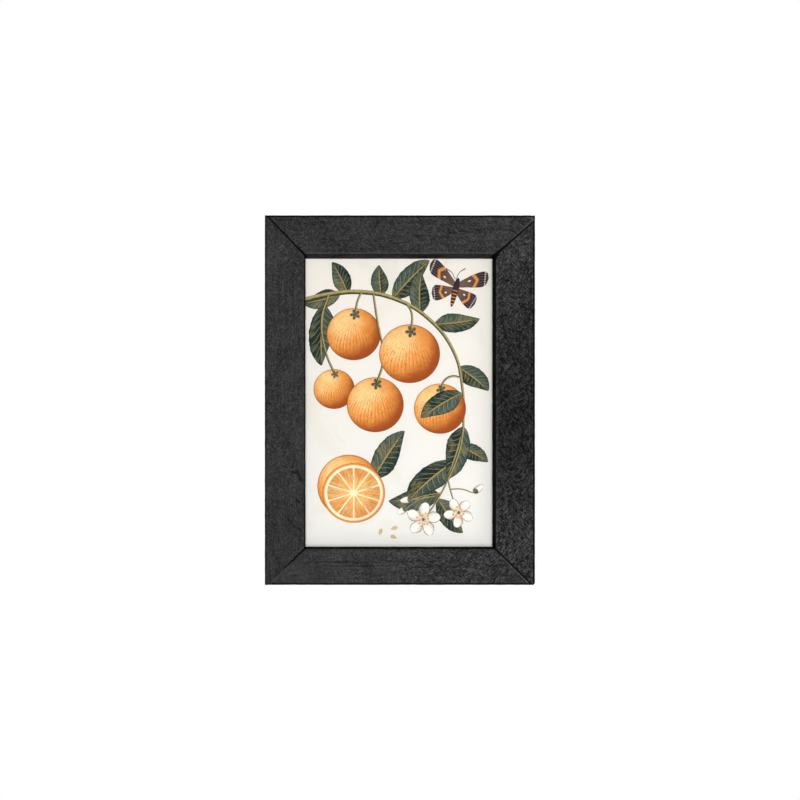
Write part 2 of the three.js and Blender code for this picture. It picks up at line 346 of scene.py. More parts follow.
def clear_selection():
    """Goes to object mode with nothing selected."""
    if bpy.context.mode != "OBJECT":
        bpy.ops.object.mode_set(mode="OBJECT")
    bpy.ops.object.select_all(action="DESELECT")


def only(piece):
    """Leaves piece the one selected and active object, in object mode."""
    clear_selection()
    piece.select_set(True)
    bpy.context.view_layer.objects.active = piece


def edit(piece, mode="FACE", action="DESELECT"):
    """Opens piece in edit mode, with nothing or all of it selected."""
    only(piece)
    bpy.ops.object.mode_set(mode="EDIT")
    bpy.ops.mesh.select_mode(type=mode)
    bpy.ops.mesh.select_all(action=action)


def close_edit():
    bpy.ops.object.mode_set(mode="OBJECT")


# What a part of a mesh is picked by, in millimetres
MEASURES = {
    "faces": lambda face: (face.calc_center_median() / MM, face.normal),
    "edges": lambda edge: (edge.verts[0].co / MM, edge.verts[1].co / MM),
    "verts": lambda point: (point.co / MM,),
}


def pick(piece, kind, wanted):
    """Selects faces by middle and normal, edges by their two ends, or verts by their place."""
    shape = bmesh.from_edit_mesh(piece.data)
    bpy.ops.mesh.select_all(action="DESELECT")
    for part in getattr(shape, kind):
        if wanted(*MEASURES[kind](part)):
            part.select_set(True)
    bmesh.update_edit_mesh(piece.data)


def close_shape(merge=0.0):
    """Merges points that are nearer than this in mm, and turns all faces outwards."""
    bpy.ops.mesh.select_all(action="SELECT")
    if merge:
        bpy.ops.mesh.remove_doubles(threshold=merge * MM)
    bpy.ops.mesh.normals_make_consistent(inside=False)


def cut_flat(place, normal, trim=False):
    """Cuts the whole mesh along a plane through a place in mm, and can trim off what is beyond it."""
    cut = {"use_fill": trim, "clear_outer": trim, "threshold": 1e-7}
    bpy.ops.mesh.select_all(action="SELECT")
    bpy.ops.mesh.bisect(plane_co=Vector(place) * MM, plane_no=normal, **cut)


def apply_place(piece):
    """Moves the object's place, turn and size into its mesh."""
    only(piece)
    bpy.ops.object.transform_apply(location=True, rotation=True, scale=True)


def put(piece, place=(0, 0, 0), turn=(0, 0, 0), size=(1, 1, 1)):
    """Scales, turns and moves piece inside its mesh. Place is in mm and turn in radians."""
    piece.location, piece.rotation_euler, piece.scale = Vector(place) * MM, turn, size
    apply_place(piece)


def add(operator, name, **options):
    """Adds a primitive with nothing else selected, its place in its mesh."""
    clear_selection()
    operator(**options)
    piece = bpy.context.active_object
    piece.name = piece.data.name = name
    apply_place(piece)
    return piece


def add_box(name, low, high):
    """A block between two corners given in millimetres."""
    low, high = Vector(low) * MM, Vector(high) * MM
    middle, size = (low + high) / 2, high - low
    return add(bpy.ops.mesh.primitive_cube_add, name, size=1, location=middle, scale=size)


def apply_modifier(piece, kind, **options):
    """Adds one modifier to piece and applies it."""
    only(piece)
    modifier = piece.modifiers.new(kind.title(), kind)
    for name, option in options.items():
        setattr(modifier, name, option)
    bpy.ops.object.modifier_apply(modifier=modifier.name)


def round_edges(piece, width, segments=2, angle=40):
    """Rounds all edges sharper than this angle in degrees."""
    limit = {"limit_method": "ANGLE", "angle_limit": math.radians(angle)}
    apply_modifier(piece, "BEVEL", width=width, segments=segments, **limit)


def smooth_by_angle(piece, angle):
    """Shades piece smooth, apart from edges sharper than this angle in degrees."""
    only(piece)
    bpy.ops.object.shade_smooth_by_angle(angle=math.radians(angle))


def copy_of(piece, name):
    """A copy of piece with a mesh of its own."""
    made = piece.copy()
    made.data = piece.data.copy()
    made.name = made.data.name = name
    bpy.context.scene.collection.objects.link(made)
    return made


def drop(*pieces):
    """Removes helpers that have done their work."""
    for piece in pieces:
        bpy.data.objects.remove(piece)


def join(pieces, name):
    """Joins pieces into the first one."""
    only(pieces[0])
    for piece in pieces:
        piece.select_set(True)
    if len(pieces) > 1:
        bpy.ops.object.join()
    joined = bpy.context.active_object
    joined.name = joined.data.name = name
    return joined


def combine(piece, other, operation="DIFFERENCE", keep=False):
    """Cuts other out of piece, or adds it."""
    apply_modifier(piece, "BOOLEAN", operation=operation, object=other, solver="EXACT")
    if not keep:
        drop(other)


def points_of(piece):
    """The points as an array of millimetres."""
    points = np.empty(len(piece.data.vertices) * 3)
    piece.data.vertices.foreach_get("co", points)
    return points.reshape(-1, 3) / MM


def move_points(piece, points):
    """Puts the points where this array of millimetres says."""
    piece.data.vertices.foreach_set("co", (points * MM).ravel())
    piece.data.update()


def write_attribute(piece, name, values):
    """Stores one number, or one vector, on every point."""
    values = np.asarray(values, float)
    kind, field = ("FLOAT_VECTOR", "vector") if values.ndim == 2 else ("FLOAT", "value")
    attribute = piece.data.attributes.new(name, kind, "POINT")
    attribute.data.foreach_set(field, values.ravel())


WEIGHT_STEPS = 24


def write_group(piece, name, weights):
    """Stores weights from 0 to 1 as a vertex group, in even steps."""
    group = piece.vertex_groups.new(name=name)
    steps = np.rint(np.clip(weights, 0, 1) * WEIGHT_STEPS).astype(int)
    for step in range(1, WEIGHT_STEPS + 1):
        group.add(np.flatnonzero(steps == step).tolist(), step / WEIGHT_STEPS, "REPLACE")


def smooth_step(values, low, high):
    """0 at low and 1 at high, with a smooth step between them."""
    share = np.clip((values - low) / (high - low), 0, 1)
    return share * share * (3 - 2 * share)


def finish_piece(piece, body, slot, material, *replaced):
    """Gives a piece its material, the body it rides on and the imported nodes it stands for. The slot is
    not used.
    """
    if material:
        piece.data.materials.clear()
        piece.data.materials.append(material)
    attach(piece, body)
    if replaced:
        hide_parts(*replaced)


def fit_copies(master, prefix, node, names, finish, sink=0.0, turns=None):
    """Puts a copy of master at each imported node, sink mm in front of its back, and drops master."""
    for number, name in enumerate(names):
        piece = copy_of(master, prefix + name)
        place, back = middle_of(node + name), box_mm(node + name)[1].y
        put(piece, (place.x, back - sink, place.z), (0, turns[number] if turns else 0, 0))
        finish_piece(piece, "frame", *finish, node + name)
    drop(master)


def dress(nodes, material):
    """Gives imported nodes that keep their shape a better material."""
    for name in nodes:
        for slot in frame["nodes"][name].material_slots:
            slot.material = material


# Rails. Each one is modelled level, with its sight edge at z = 0 and its outside up, then turned
# about Y by quarter turns
SIDES = ("top", "right", "bottom", "left")
CORNER_RING = ("top_left", "top_right", "bottom_right", "bottom_left")
# Radius of a worn corner at the rail's end
WORN_ENDS = {"right": 2.5}

# How far from its corner each mitre comes out: along the level rail's edge, and down the upright's
MITRE_TIPS = {
    "top_left": (1.5, 0.0),
    "top_right": (0.0, 5.0),
    "bottom_left": (3.0, 0.0),
    "bottom_right": (3.0, 0.0),
}
MITRE_GAP = 0.08
# How much black painted shade there is in each mitre gap and how wide, at stops from the sight corner to
# the tip
PAINTED_MITRE_SHADE = {
    "top_left": ((1.0, 1.0, 1.0, 0.95, 0.9), (1.6, 1.05, 1.0, 1.0, 0.9)),
    "top_right": ((1.0, 1.0, 1.0, 1.0, 1.0), (2.2, 1.2, 1.0, 0.95, 0.9)),
    "bottom_left": ((1.0, 1.0, 0.75, 0.1, 0.0), (1.0, 1.0, 0.8, 0.8, 0.8)),
    "bottom_right": ((1.0, 1.0, 1.0, 1.0, 1.0), (1.2, 1.0, 1.0, 1.0, 1.1)),
}
SHEET_GAP = 0.3
SHEET_PLAY = 1.0
REBATE_FLOOR = box_mm("glass_pane")[0].y - SHEET_GAP

# The mesh: the largest rows across each side of the section, and the cuts along, in two rounds
FACE_ROW = 0.62
INNER_ROW = 0.95
OUTER_ROW = 1.2
BACK_ROW = 1.8
ARRIS_STEPS = 3
LEVEL_CUTS = (20, 20)
UPRIGHT_CUTS = (22, 23)


class Rail:
    """The measures of one rail: its width and those it meets, its corners from start to end."""

    def __init__(self, turns, side):
        follows = (turns + 1) % 4
        upright = OUTER_RIGHT - SIGHT_RIGHT
        widths = (OUTER_TOP - SIGHT_TOP, upright, SIGHT_BOTTOM - OUTER_BOTTOM, upright)
        low, high = box_mm("glass_pane")
        self.side, self.turns, self.level = side, turns, turns % 2 == 0
        self.corners = (CORNER_RING[turns], CORNER_RING[follows])
        self.width, self.meets = widths[turns], (widths[turns - 1], widths[follows])
        self.half = (OUTER_RIGHT - OUTER_LEFT if self.level else OUTER_TOP - OUTER_BOTTOM) / 2
        level_rebate, upright_rebate = SIGHT_BOTTOM - low.z + SHEET_GAP, high.x + SHEET_PLAY - SIGHT_RIGHT
        self.rebate = level_rebate if self.level else upright_rebate
        # Where the middle of the sight edge goes
        across = (MIDDLE.x, SIGHT_RIGHT, MIDDLE.x, SIGHT_LEFT)[turns]
        self.place = Vector((across, 0, (SIGHT_TOP, MIDDLE.z, SIGHT_BOTTOM, MIDDLE.z)[turns]))


RAILS = [Rail(turns, side) for turns, side in enumerate(SIDES)]


def mitre_plane(rail, end):
    """A point on the mitre and its normal, away from the rail. End is -1 at the start and 1 at the end."""
    place = 0 if end < 0 else 1
    along, down = MITRE_TIPS[rail.corners[place]]
    if not rail.level:
        along, down = down, along
    sight = Vector((end * (rail.half - rail.meets[place]), 0, 0))
    tip = Vector((end * (rail.half - along), 0, rail.width - down))
    run = (tip - sight).normalized()
    normal = Vector((end * run.z, 0, -abs(run.x)))
    return sight - normal * MITRE_GAP / 2, normal


def add_rail(rail):
    """The square bar with its rebate, its long edges rounded."""
    bar = add_box(f"rail_{rail.side}_wood", (-rail.half, FACE, rail.rebate), (rail.half, 0, rail.width))
    edit(bar)
    cut_flat((0, REBATE_FLOOR, 0), (0, 1, 0))
    pick(bar, "faces", lambda middle, normal: normal.z < -0.9 and middle.y < REBATE_FLOOR)
    bpy.ops.mesh.extrude_region_move(TRANSFORM_OT_translate={"value": (0, 0, -rail.rebate * MM)})
    bpy.ops.mesh.select_mode(type="EDGE")
    wood = settings().wood
    edges = ((FACE, 0, wood.arris), (FACE, rail.width, wood.arris), (0, rail.width, wood.back_arris))
    for depth, height, radius in edges:
        corner = Vector((depth, height))
        pick(bar, "edges", lambda *ends: all((end.yz - corner).length < 0.01 for end in ends))
        bpy.ops.mesh.bevel(offset=radius, segments=ARRIS_STEPS, affect="EDGES", clamp_overlap=False)
    return bar


def cut_mitres(rail):
    """Cuts both ends, with a cut along the rail first where a mitre leaves a flat tip."""
    for end in (-1, 1):
        point, normal = mitre_plane(rail, end)
        flat = point.z - (end * rail.half - point.x) * normal.x / normal.z
        if flat < rail.width - 0.01:
            cut_flat((0, 0, flat), (0, 0, 1))
        cut_flat(point, normal, True)
    close_shape(0.01)


def rows_across(first, second, width):
    """How many rows the strip that this edge crosses needs."""
    depth, height = abs(first.y - second.y), abs(first.z - second.z)
    if height > depth:
        row = FACE_ROW if abs(first.y - FACE) < 0.01 else BACK_ROW
    else:
        row = OUTER_ROW if min(first.z, second.z) > width - 0.01 else INNER_ROW
    return max(1, round(max(depth, height) / row))


def add_rows(bar, width):
    """Cuts every strip of the section into rows."""
    while True:
        edges = bmesh.from_edit_mesh(bar.data).edges
        count = max(rows_across(*(end.co / MM for end in edge.verts), width) for edge in edges)
        if count == 1:
            return
        pick(bar, "edges", lambda *ends: rows_across(*ends, width) == count)
        bpy.ops.mesh.subdivide(number_cuts=count - 1)


def runs_along(first, second):
    """True for an edge of more than 2 mm along the rail."""
    along = abs(first.x - second.x)
    return along > 2 and along > 0.999 * (first - second).length


def refine_rail(bar, rail):
    """Rows, rounded mitre edges and columns."""
    add_rows(bar, rail.width)
    bpy.ops.mesh.select_mode(type="FACE")
    pick(bar, "faces", lambda middle, normal: abs(normal.x) > 0.3 and abs(middle.x) > rail.half / 2)
    bpy.ops.mesh.region_to_loop()
    arris = settings().wood.mitre_arris
    bpy.ops.mesh.bevel(offset=arris, segments=2, affect="EDGES", clamp_overlap=True)
    bpy.ops.mesh.select_mode(type="EDGE")
    for cuts in LEVEL_CUTS if rail.level else UPRIGHT_CUTS:
        pick(bar, "edges", runs_along)
        bpy.ops.mesh.subdivide(number_cuts=cuts)
    close_edit()


def press(piece, stretch, tilt, shift, direction, depth, weights):
    """Presses clouds into piece as far as weights say. Stretch is their size in mm, tilt in degrees."""
    write_group(piece, "pressed", weights)
    clouds = bpy.data.textures.new("clouds", "CLOUDS")
    clouds.noise_scale, clouds.noise_depth, clouds.noise_basis = 1.0, 2, "ORIGINAL_PERLIN"
    clear_selection()
    bpy.ops.object.empty_add(location=(shift * MM, 0, 0), rotation=(0, math.radians(tilt), 0))
    guide = bpy.context.active_object
    guide.scale = [size * MM for size in stretch]
    bpy.context.view_layer.update()
    coords = {"texture_coords": "OBJECT", "texture_coords_object": guide}
    reach = {"direction": direction, "strength": depth * MM, "vertex_group": "pressed"}
    apply_modifier(piece, "DISPLACE", texture=clouds, mid_level=0.5, **coords, **reach)
    piece.vertex_groups.clear()
    drop(guide)
    bpy.data.textures.remove(clouds)


# The marks that tools and grain leave on each face: size of a mark along, through and across the
# rail in mm, tilt in degrees, and share of the relief
MARKS = {
    "top": (((4.4, 3, 1.8), 40, 0.7), ((3, 2, 1.7), -45, 0.7), ((26, 9, 9), 0, 0.4)),
    "right": (((5, 3, 1.9), -42, 1.9), ((4, 2, 1.7), 45, 1.6), ((30, 9, 12), 0, 0.8)),
    "bottom": (((6, 4, 1.7), 0, 0.8), ((3.4, 3, 2.2), -35, 1.0), ((30, 9, 10), 0, 0.4)),
    "left": (((5, 3, 1.6), 0, 0.7), ((3, 2, 2.0), -12, 0.7), ((34, 9, 9), 0, 0.4)),
}


def roughen(bar, rail):
    """Tool marks and raised grain on the face, and uneven walls."""
    points = points_of(bar)
    face = 1 - smooth_step(points[:, 1] - FACE, 0.4, 3.2)
    edge = np.minimum(abs(points[:, 2]), abs(points[:, 2] - rail.width))
    walls = (1 - smooth_step(edge, 0.2, 3.2)) * smooth_step(-points[:, 1], 0.2, 4)
    relief = settings().wood.relief / MM
    for number, (stretch, tilt, share) in enumerate(MARKS[rail.side]):
        press(bar, stretch, tilt, 700 * rail.turns + 90 * number, "Y", relief * share, face)
    press(bar, (9, 5, 5), 0, 33 + 500 * rail.turns, "Z", relief * 0.8, walls)
    press(bar, (2.5, 1.2, 2), 0, 71, "Z", relief * 0.4, walls)
    return points


# Scars on the faces: points in mm to the right of and above the frame's middle, half width, depth,
# and tone from -1, black, to 1, scuffed; the light lines along the sight edges and mitres are painted
# highlights
SCARS = {
    "left": (
        (((-107.5, -72), (-101.5, -72), (-98.5, -80)), 1.5, 0.6, -0.6),
        (((-103.3, -99), (-99.7, -102.5)), 0.8, 0.5, -0.7),
        (((-102.5, -110.6), (-98.5, -114.7)), 0.7, 0.4, -0.55),
        (((-113.6, -116.5), (-109.2, -121), (-105.5, -125.3), (-99.7, -128.6)), 0.7, 0.4, -0.55),
        (((-100.5, -128), (-99, -129)), 1.0, 0.6, -0.8),
        (((-99.7, -139.5), (-99.7, -140.5)), 1.0, 0.6, -0.8),
        (((-110, -42.5), (-109.8, -43)), 0.8, 0.4, -0.7),
        (((-114, -66), (-113.8, -66.4)), 0.8, 0.4, -0.7),
        (((-117, 154), (-116.6, 153.6)), 0.8, 0.1, 0.9),
        (((-116.8, 120), (-116.6, 104)), 0.7, 0.0, 0.3),
        (((-117.2, 20), (-116.8, -4)), 0.7, 0.0, 0.3),
    ),
    "top": (
        (((49, 167.4), (56, 167)), 0.7, 0.4, -0.5),
        (((60, 168.6), (71.5, 167.4), (82, 168.2)), 0.7, 0.4, -0.45),
        (((49, 170), (49.4, 170)), 0.8, 0.4, -0.8),
        (((44, 157.5), (54.2, 149.7)), 0.6, 0.3, -0.35),
        (((14, 165), (20, 161)), 0.6, 0.3, -0.35),
        (((-62.5, 160.5), (-51.3, 160.5)), 0.7, 0.1, 0.4),
        # A painted highlight along the top sight edge
        (((-95, 146.7), (95, 146.7)), 1.0, 0.0, 0.22),
        (((112.3, 173.4), (112.3, 168.2), (118.6, 166)), 0.6, 0.3, -0.45),
        (((126.5, 182.6), (130.6, 181.9), (133.0, 179.8)), 0.8, 0.1, 0.9),
        (((131.4, 184.2), (134.4, 183.4), (134.6, 180.6)), 1.1, 0.9, -1.0),
        # Painted highlights beside the top right mitre
        (((98.1, 149.2), (131.9, 178.6)), 0.8, 0.0, 0.3),
        (((124, 171.7), (131.9, 178.6)), 0.8, 0.0, 0.5),
        (((-100.9, 151.7), (-99.9, 151.1)), 1.2, 0.5, -0.9),
    ),
    "right": (
        # A worn chip at the upper sight corner, cut in and painted dark for the shade inside it
        (((96, 143.4), (98.6, 145.8)), 1.5, 1.6, -0.9),
        (((95.4, 139.5), (96, 143)), 1.1, 1.2, -0.8),
        # A painted highlight along the right sight edge
        (((96.8, 138), (96.8, -146)), 0.9, 0.0, 0.2),
    ),
    "bottom": (
        (((-84, -161.5), (-58, -161), (-32, -162.2)), 0.7, 0.3, -0.4),
        (((-70, -165), (-40, -165.6), (-8, -164.8)), 0.6, 0.3, -0.3),
        (((-20, -160), (12, -161.2), (36, -160.6)), 0.7, 0.3, -0.35),
        (((10, -167.4), (40, -166.2)), 0.6, 0.3, -0.3),
        # Painted highlights beside the bottom mitres
        (((100.6, -155.4), (128.6, -182.9)), 0.8, 0.0, 0.45),
        (((124, -178.4), (127.8, -182.2)), 0.9, 0.1, 1.0),
        (((-111.5, -165), (-129.5, -182.7)), 0.8, 0.0, 0.4),
    ),
}


def distance_to(points, start, end):
    """How far each point is from the stretch between start and end."""
    run = end - start
    share = np.clip((points - start) @ run / (run @ run), 0, 1)
    return np.linalg.norm(points - start - share[:, None] * run, axis=1)


def scar(bar, rail, rest):
    """Cuts the scars into the face, and returns how dark each point is and how scuffed or lit by a painted
    highlight.
    """
    angle = rail.turns * QUARTER
    cos, sin = math.cos(angle), math.sin(angle)
    x = rest[:, 0] * cos + rest[:, 2] * sin + rail.place.x - MIDDLE.x
    z = -rest[:, 0] * sin + rest[:, 2] * cos + rail.place.z - MIDDLE.z
    flat = np.stack([x, z], axis=1)
    points = points_of(bar)
    near = 1 - smooth_step(rest[:, 1] - FACE, 0.6, 3.5)
    dark, light = np.zeros(len(rest)), np.zeros(len(rest))
    for route, reach, depth, tone in SCARS[rail.side]:
        route = np.array(route, float)
        away = np.min([distance_to(flat, a, b) for a, b in zip(route[:-1], route[1:])], axis=0)
        mark = near * (1 - smooth_step(away, reach * 0.35, reach))
        points[:, 1] += depth * mark
        dark, light = np.maximum(dark, -tone * mark), np.maximum(light, tone * mark)
    move_points(bar, points)
    return dark, light


# How bright each face is, at stops from its start to its end
SHADES = {
    "top": (0.93, 0.96, 0.98, 1.03, 1.06),
    "right": (1.07, 0.96, 0.63, 0.5, 0.51, 0.86, 1.1),
    "bottom": (0.8, 0.98, 1.11, 1.04, 0.96),
    "left": (0.83, 0.91, 1.0, 1.0, 1.0),
}
# How rough each face is, at the same kind of stops
ROUGHNESS = {
    "top": (0.86, 0.91, 0.94, 0.95, 1.02),
    "right": (1.0, 1.65, 1.85, 1.85, 1.42),
    "bottom": (1.3, 1.44, 1.0, 0.7, 0.54),
    "left": (0.78, 0.82, 0.82),
}
# How much more of the brush marks rise to the rail's end than fall, seen level
LEANING = {"top": -0.03, "right": 0.0, "bottom": 0.03, "left": 0.0}
# How far the painted shade of the edges comes in from the outside and from the sight edge, in mm, and how
# much of it the wall has: a dark outline for the outer arris, a dark lip and shaded sight walls
PAINTED_EDGE_SHADE = {
    "top": (1.6, 0.45, 0.74),
    "right": (1.8, 0.4, 0.9),
    "bottom": (1.5, 0.1, 0.88),
    "left": (1.0, 0.2, 0.9),
}


def mark_surface(bar, rail, rest, dark, light):
    """Stores grain coordinates, relief, stain with painted shade, scuffs with painted highlights, each
    face's brightness and where the back's wash is.
    """
    x, y, z = rest.T
    depth = y - FACE
    relief = (1 - smooth_step(depth, 0.5, 2.2)) * (y - points_of(bar)[:, 1])
    rim, lip, share = PAINTED_EDGE_SHADE[rail.side]
    sides = smooth_step(depth, 1.2, 2.6)
    # Painted shade: a dark line along the outer arris, as if turned from the light, and on the sight lip
    # and walls
    outer = smooth_step(z, rail.width - rim - 0.7, rail.width - rim) * (1 - sides)
    sight = 1 - smooth_step(z, lip, lip + 0.7)
    stain = np.max([dark, outer, sides * 0.45, sight * share], axis=0)
    for end, corner in zip((-1, 1), rail.corners):
        point, normal = mitre_plane(rail, end)
        inside = (point.x - x) * normal.x + (point.z - z) * normal.z
        stops = PAINTED_MITRE_SHADE[corner]
        black, wide = (np.interp(z / rail.width, np.linspace(0, 1, 5), row) for row in stops)
        # Painted shade in the mitre gap, and at the rail's end inside the joint
        mitre = black * (1 - smooth_step(inside / wide, 0.5, 1.2))
        tip = (1 - sides) * (1 - smooth_step(rail.half - end * x, 0.2, 1.2))
        stain = np.max([stain, mitre, tip], axis=0)
    stops = (SHADES[rail.side], ROUGHNESS[rail.side])
    shade, rough = (np.interp(x, np.linspace(-rail.half, rail.half, len(row)), row) for row in stops)
    for name, values in (
        ("grain", rest + np.array([700.0 * rail.turns, 0, 0])),
        ("relief", relief),
        ("stain", stain),
        ("scuff", light),
        ("shade", shade),
        ("rough", rough * (1 - 0.75 * sides)),
        ("lean", np.full(len(rest), LEANING[rail.side])),
        ("back", smooth_step(y, -0.9, -0.2) * (z > rail.rebate - 0.1)),
    ):
        write_attribute(bar, name, values)


def round_corner(bar, rail, radius):
    """Wears round the outer corner at the rail's end, seen from the front."""
    points = points_of(bar)
    centre = np.array([rail.half - radius, rail.width - radius])
    out = points[:, [0, 2]] - centre
    worn = (out > 0).all(axis=1)
    longest, reach = out[worn].max(axis=1), np.linalg.norm(out[worn], axis=1)
    points[np.ix_(worn, [0, 2])] = centre + out[worn] * (longest / reach)[:, None]
    move_points(bar, points)


SLOT_GROWTH = 0.45
SLOT_MOUTH = 1.5


def nail_cutter():
    """The corner nails, grown a little and open at the back, to cut their slots."""
    pieces = []
    for name in NAILS:
        piece = copy_of(frame["nodes"][name], "slot_" + name)
        piece.parent = None
        edit(piece, "VERT")
        close_shape(0.01)
        close_edit()
        apply_modifier(piece, "DISPLACE", strength=SLOT_GROWTH * MM, mid_level=0.0)
        points = points_of(piece)
        points[points[:, 1] > -3, 1] = SLOT_MOUTH
        move_points(piece, points)
        pieces.append(piece)
    return join(pieces, "nail_slots")


def strokes(ink, grain, turn):
    """Thin brush marks, side by side, at this turn in degrees from the rail's length."""
    cos, sin = math.cos(math.radians(turn)), math.sin(math.radians(turn))
    x, y, z = (ink.along(grain, axis) for axis in range(3))
    along, across = x * (0.2 * cos) + z * (0.2 * sin), z * (1.15 * cos) - x * (1.15 * sin)
    return ink.noise(ink.joined(along, y * 0.85 + turn / 10, across), 1.0, 1, 0.5, 0.4)


def wood_finish():
    """Black stain on rough, brushed pine, with painted shade along the edges, sight walls and mitres, and
    a thinner wash on the backs.
    """
    wood = settings().wood
    ink = Finish("black_wood")
    grain = ink.attribute("grain", "Vector")
    stain, rough = ink.attribute("stain"), ink.attribute("rough")
    fibre = ink.noise(ink.stretched(grain, 0.05, 1.3, 1.3), 1.0, 5, 0.62, 0.4)
    fine = ink.noise(grain, 0.95, 1, 0.6)
    patch = ink.noise(grain, 0.045, 3, 0.5)
    lean = ink.smooth(ink.noise(grain, 0.085, 2, 0.6) + ink.attribute("lean"), 0.45, 0.55)
    brush = strokes(ink, grain, 36) * lean + strokes(ink, grain, -45) * (1 - lean)
    light = ink.smooth(brush, 0.46, 0.74) - 0.22
    coarse = (fine - 0.5) * 1.9 + light * (rough * 0.58) + ink.attribute("relief") * 0.55
    tone = (fibre - 0.5) * 0.95 + (patch - 0.5) * 0.45 + coarse * rough + 0.34
    face = ink.mix(ink.smooth(tone, -0.4, 1.4), wood.hollow, wood.brushed)
    specks = ink.smooth(ink.noise(grain, 1.1, 2, 0.6), 0.7, 0.8) * 0.35
    face = ink.coats(
        ink.scaled(face, ink.attribute("shade")),
        # Light specks and scuffs, with the painted highlights along edges and mitres
        (ink.most(specks, ink.attribute("scuff") * 0.6), (0.13, 0.13, 0.132)),
        # Real stain and painted shade over the face
        (ink.math("MINIMUM", stain * (0.85 + fine * 0.3), 1.0), wood.stain),
    )
    rings = ink.noise(ink.stretched(grain, 0.012, 0.3, 0.3), 1.0, 3, 0.55, 1.2)
    thin = ink.smooth(rings * 0.7 + fibre * 0.3, 0.46, 0.72) * ink.smooth(patch, 0.35, 0.75)
    wash = ink.scaled(ink.mix(thin * 0.7, wood.wash, wood.bare), 0.75 + fine * 0.5)
    bare = ink.shader(
        base_color=ink.mix(ink.attribute("back"), face, wash),
        roughness=0.72 + (fine - 0.5) * 0.25,
        specular_ior_level=0.15,
        normal=ink.bump(fibre + fine * 0.3, 0.18),
    )
    # A matt black shader where the stain and painted shade are strongest, also taking the gloss off the
    # shaded walls
    matt_stain_and_shade = ink.shader(base_color=wood.stain, roughness=0.9, specular_ior_level=0.0)
    return ink.show(ink.blend(ink.smooth(stain, 0.6, 1.0), bare, matt_stain_and_shade))


class FRAMEDPRINT_OT_rails(bpy.types.Operator):
    """Models the four mitred rails of rough black wood"""

    bl_idname = "framedprint.rails"
    bl_label = "Rails"

    def execute(self, context):
        material = wood_finish()
        bars = []
        for rail in RAILS:
            bar = add_rail(rail)
            cut_mitres(rail)
            refine_rail(bar, rail)
            rest = roughen(bar, rail)
            mark_surface(bar, rail, rest, *scar(bar, rail, rest))
            if rail.side in WORN_ENDS:
                round_corner(bar, rail, WORN_ENDS[rail.side])
            put(bar, rail.place, (0, rail.turns * QUARTER, 0))
            bars.append(bar)
        slots = nail_cutter()
        for rail, bar in zip(RAILS, bars):
            combine(bar, slots, keep=True)
            smooth_by_angle(bar, 42)
            finish_piece(bar, "frame", "black_wood", material, "rail_" + rail.side)
        drop(slots)
        return {"FINISHED"}


# The print is drawn flat, X to the right and Y up in mm from the middle of the opening, with its
# face up. Each motif is a thin closed plate of ink, one layer above the plates that it lies on.
LAYER = 0.02
PLATE = 0.28
CELL = 2.0


def leaf_width(u):
    """The half width of a leaf at u of its length, as a share of the widest."""
    return max(0.0, math.sin(math.pi * u**0.82)) ** 0.85 * (1 - 0.12 * u)


def petal_width(u):
    return max(0.0, math.sin(math.pi * min(1, 0.06 + 0.94 * u) ** 1.55)) ** 0.6


def wing_width(u):
    return (0.16 + 0.84 * u**0.9) * (1 - u**7) ** 0.5


def body_width(u):
    return max(0.0, 1 - (2 * u - 1) ** 2) ** 0.5 * (1.1 - 0.35 * u)


def add_blade(name, width_at, columns=24, rows=6, wave=0.0):
    """A flat blade of unit length and width from the origin along X, shaped column by column."""
    grid = bpy.ops.mesh.primitive_grid_add
    blade = add(grid, name, x_subdivisions=columns, y_subdivisions=rows, size=1, location=(0.5, 0, 0))
    edit(blade, "VERT")
    draw = random.Random(name)
    for column in range(columns + 1):
        u = column / columns
        width = max(0.012, width_at(u) * (1 + wave * draw.uniform(-1, 1)))
        pick(blade, "verts", lambda point: abs(point.x * MM - u) < 0.2 / columns)
        bpy.ops.transform.resize(value=(1, width, 1), center_override=(u, 0, 0))
    close_edit()
    return blade


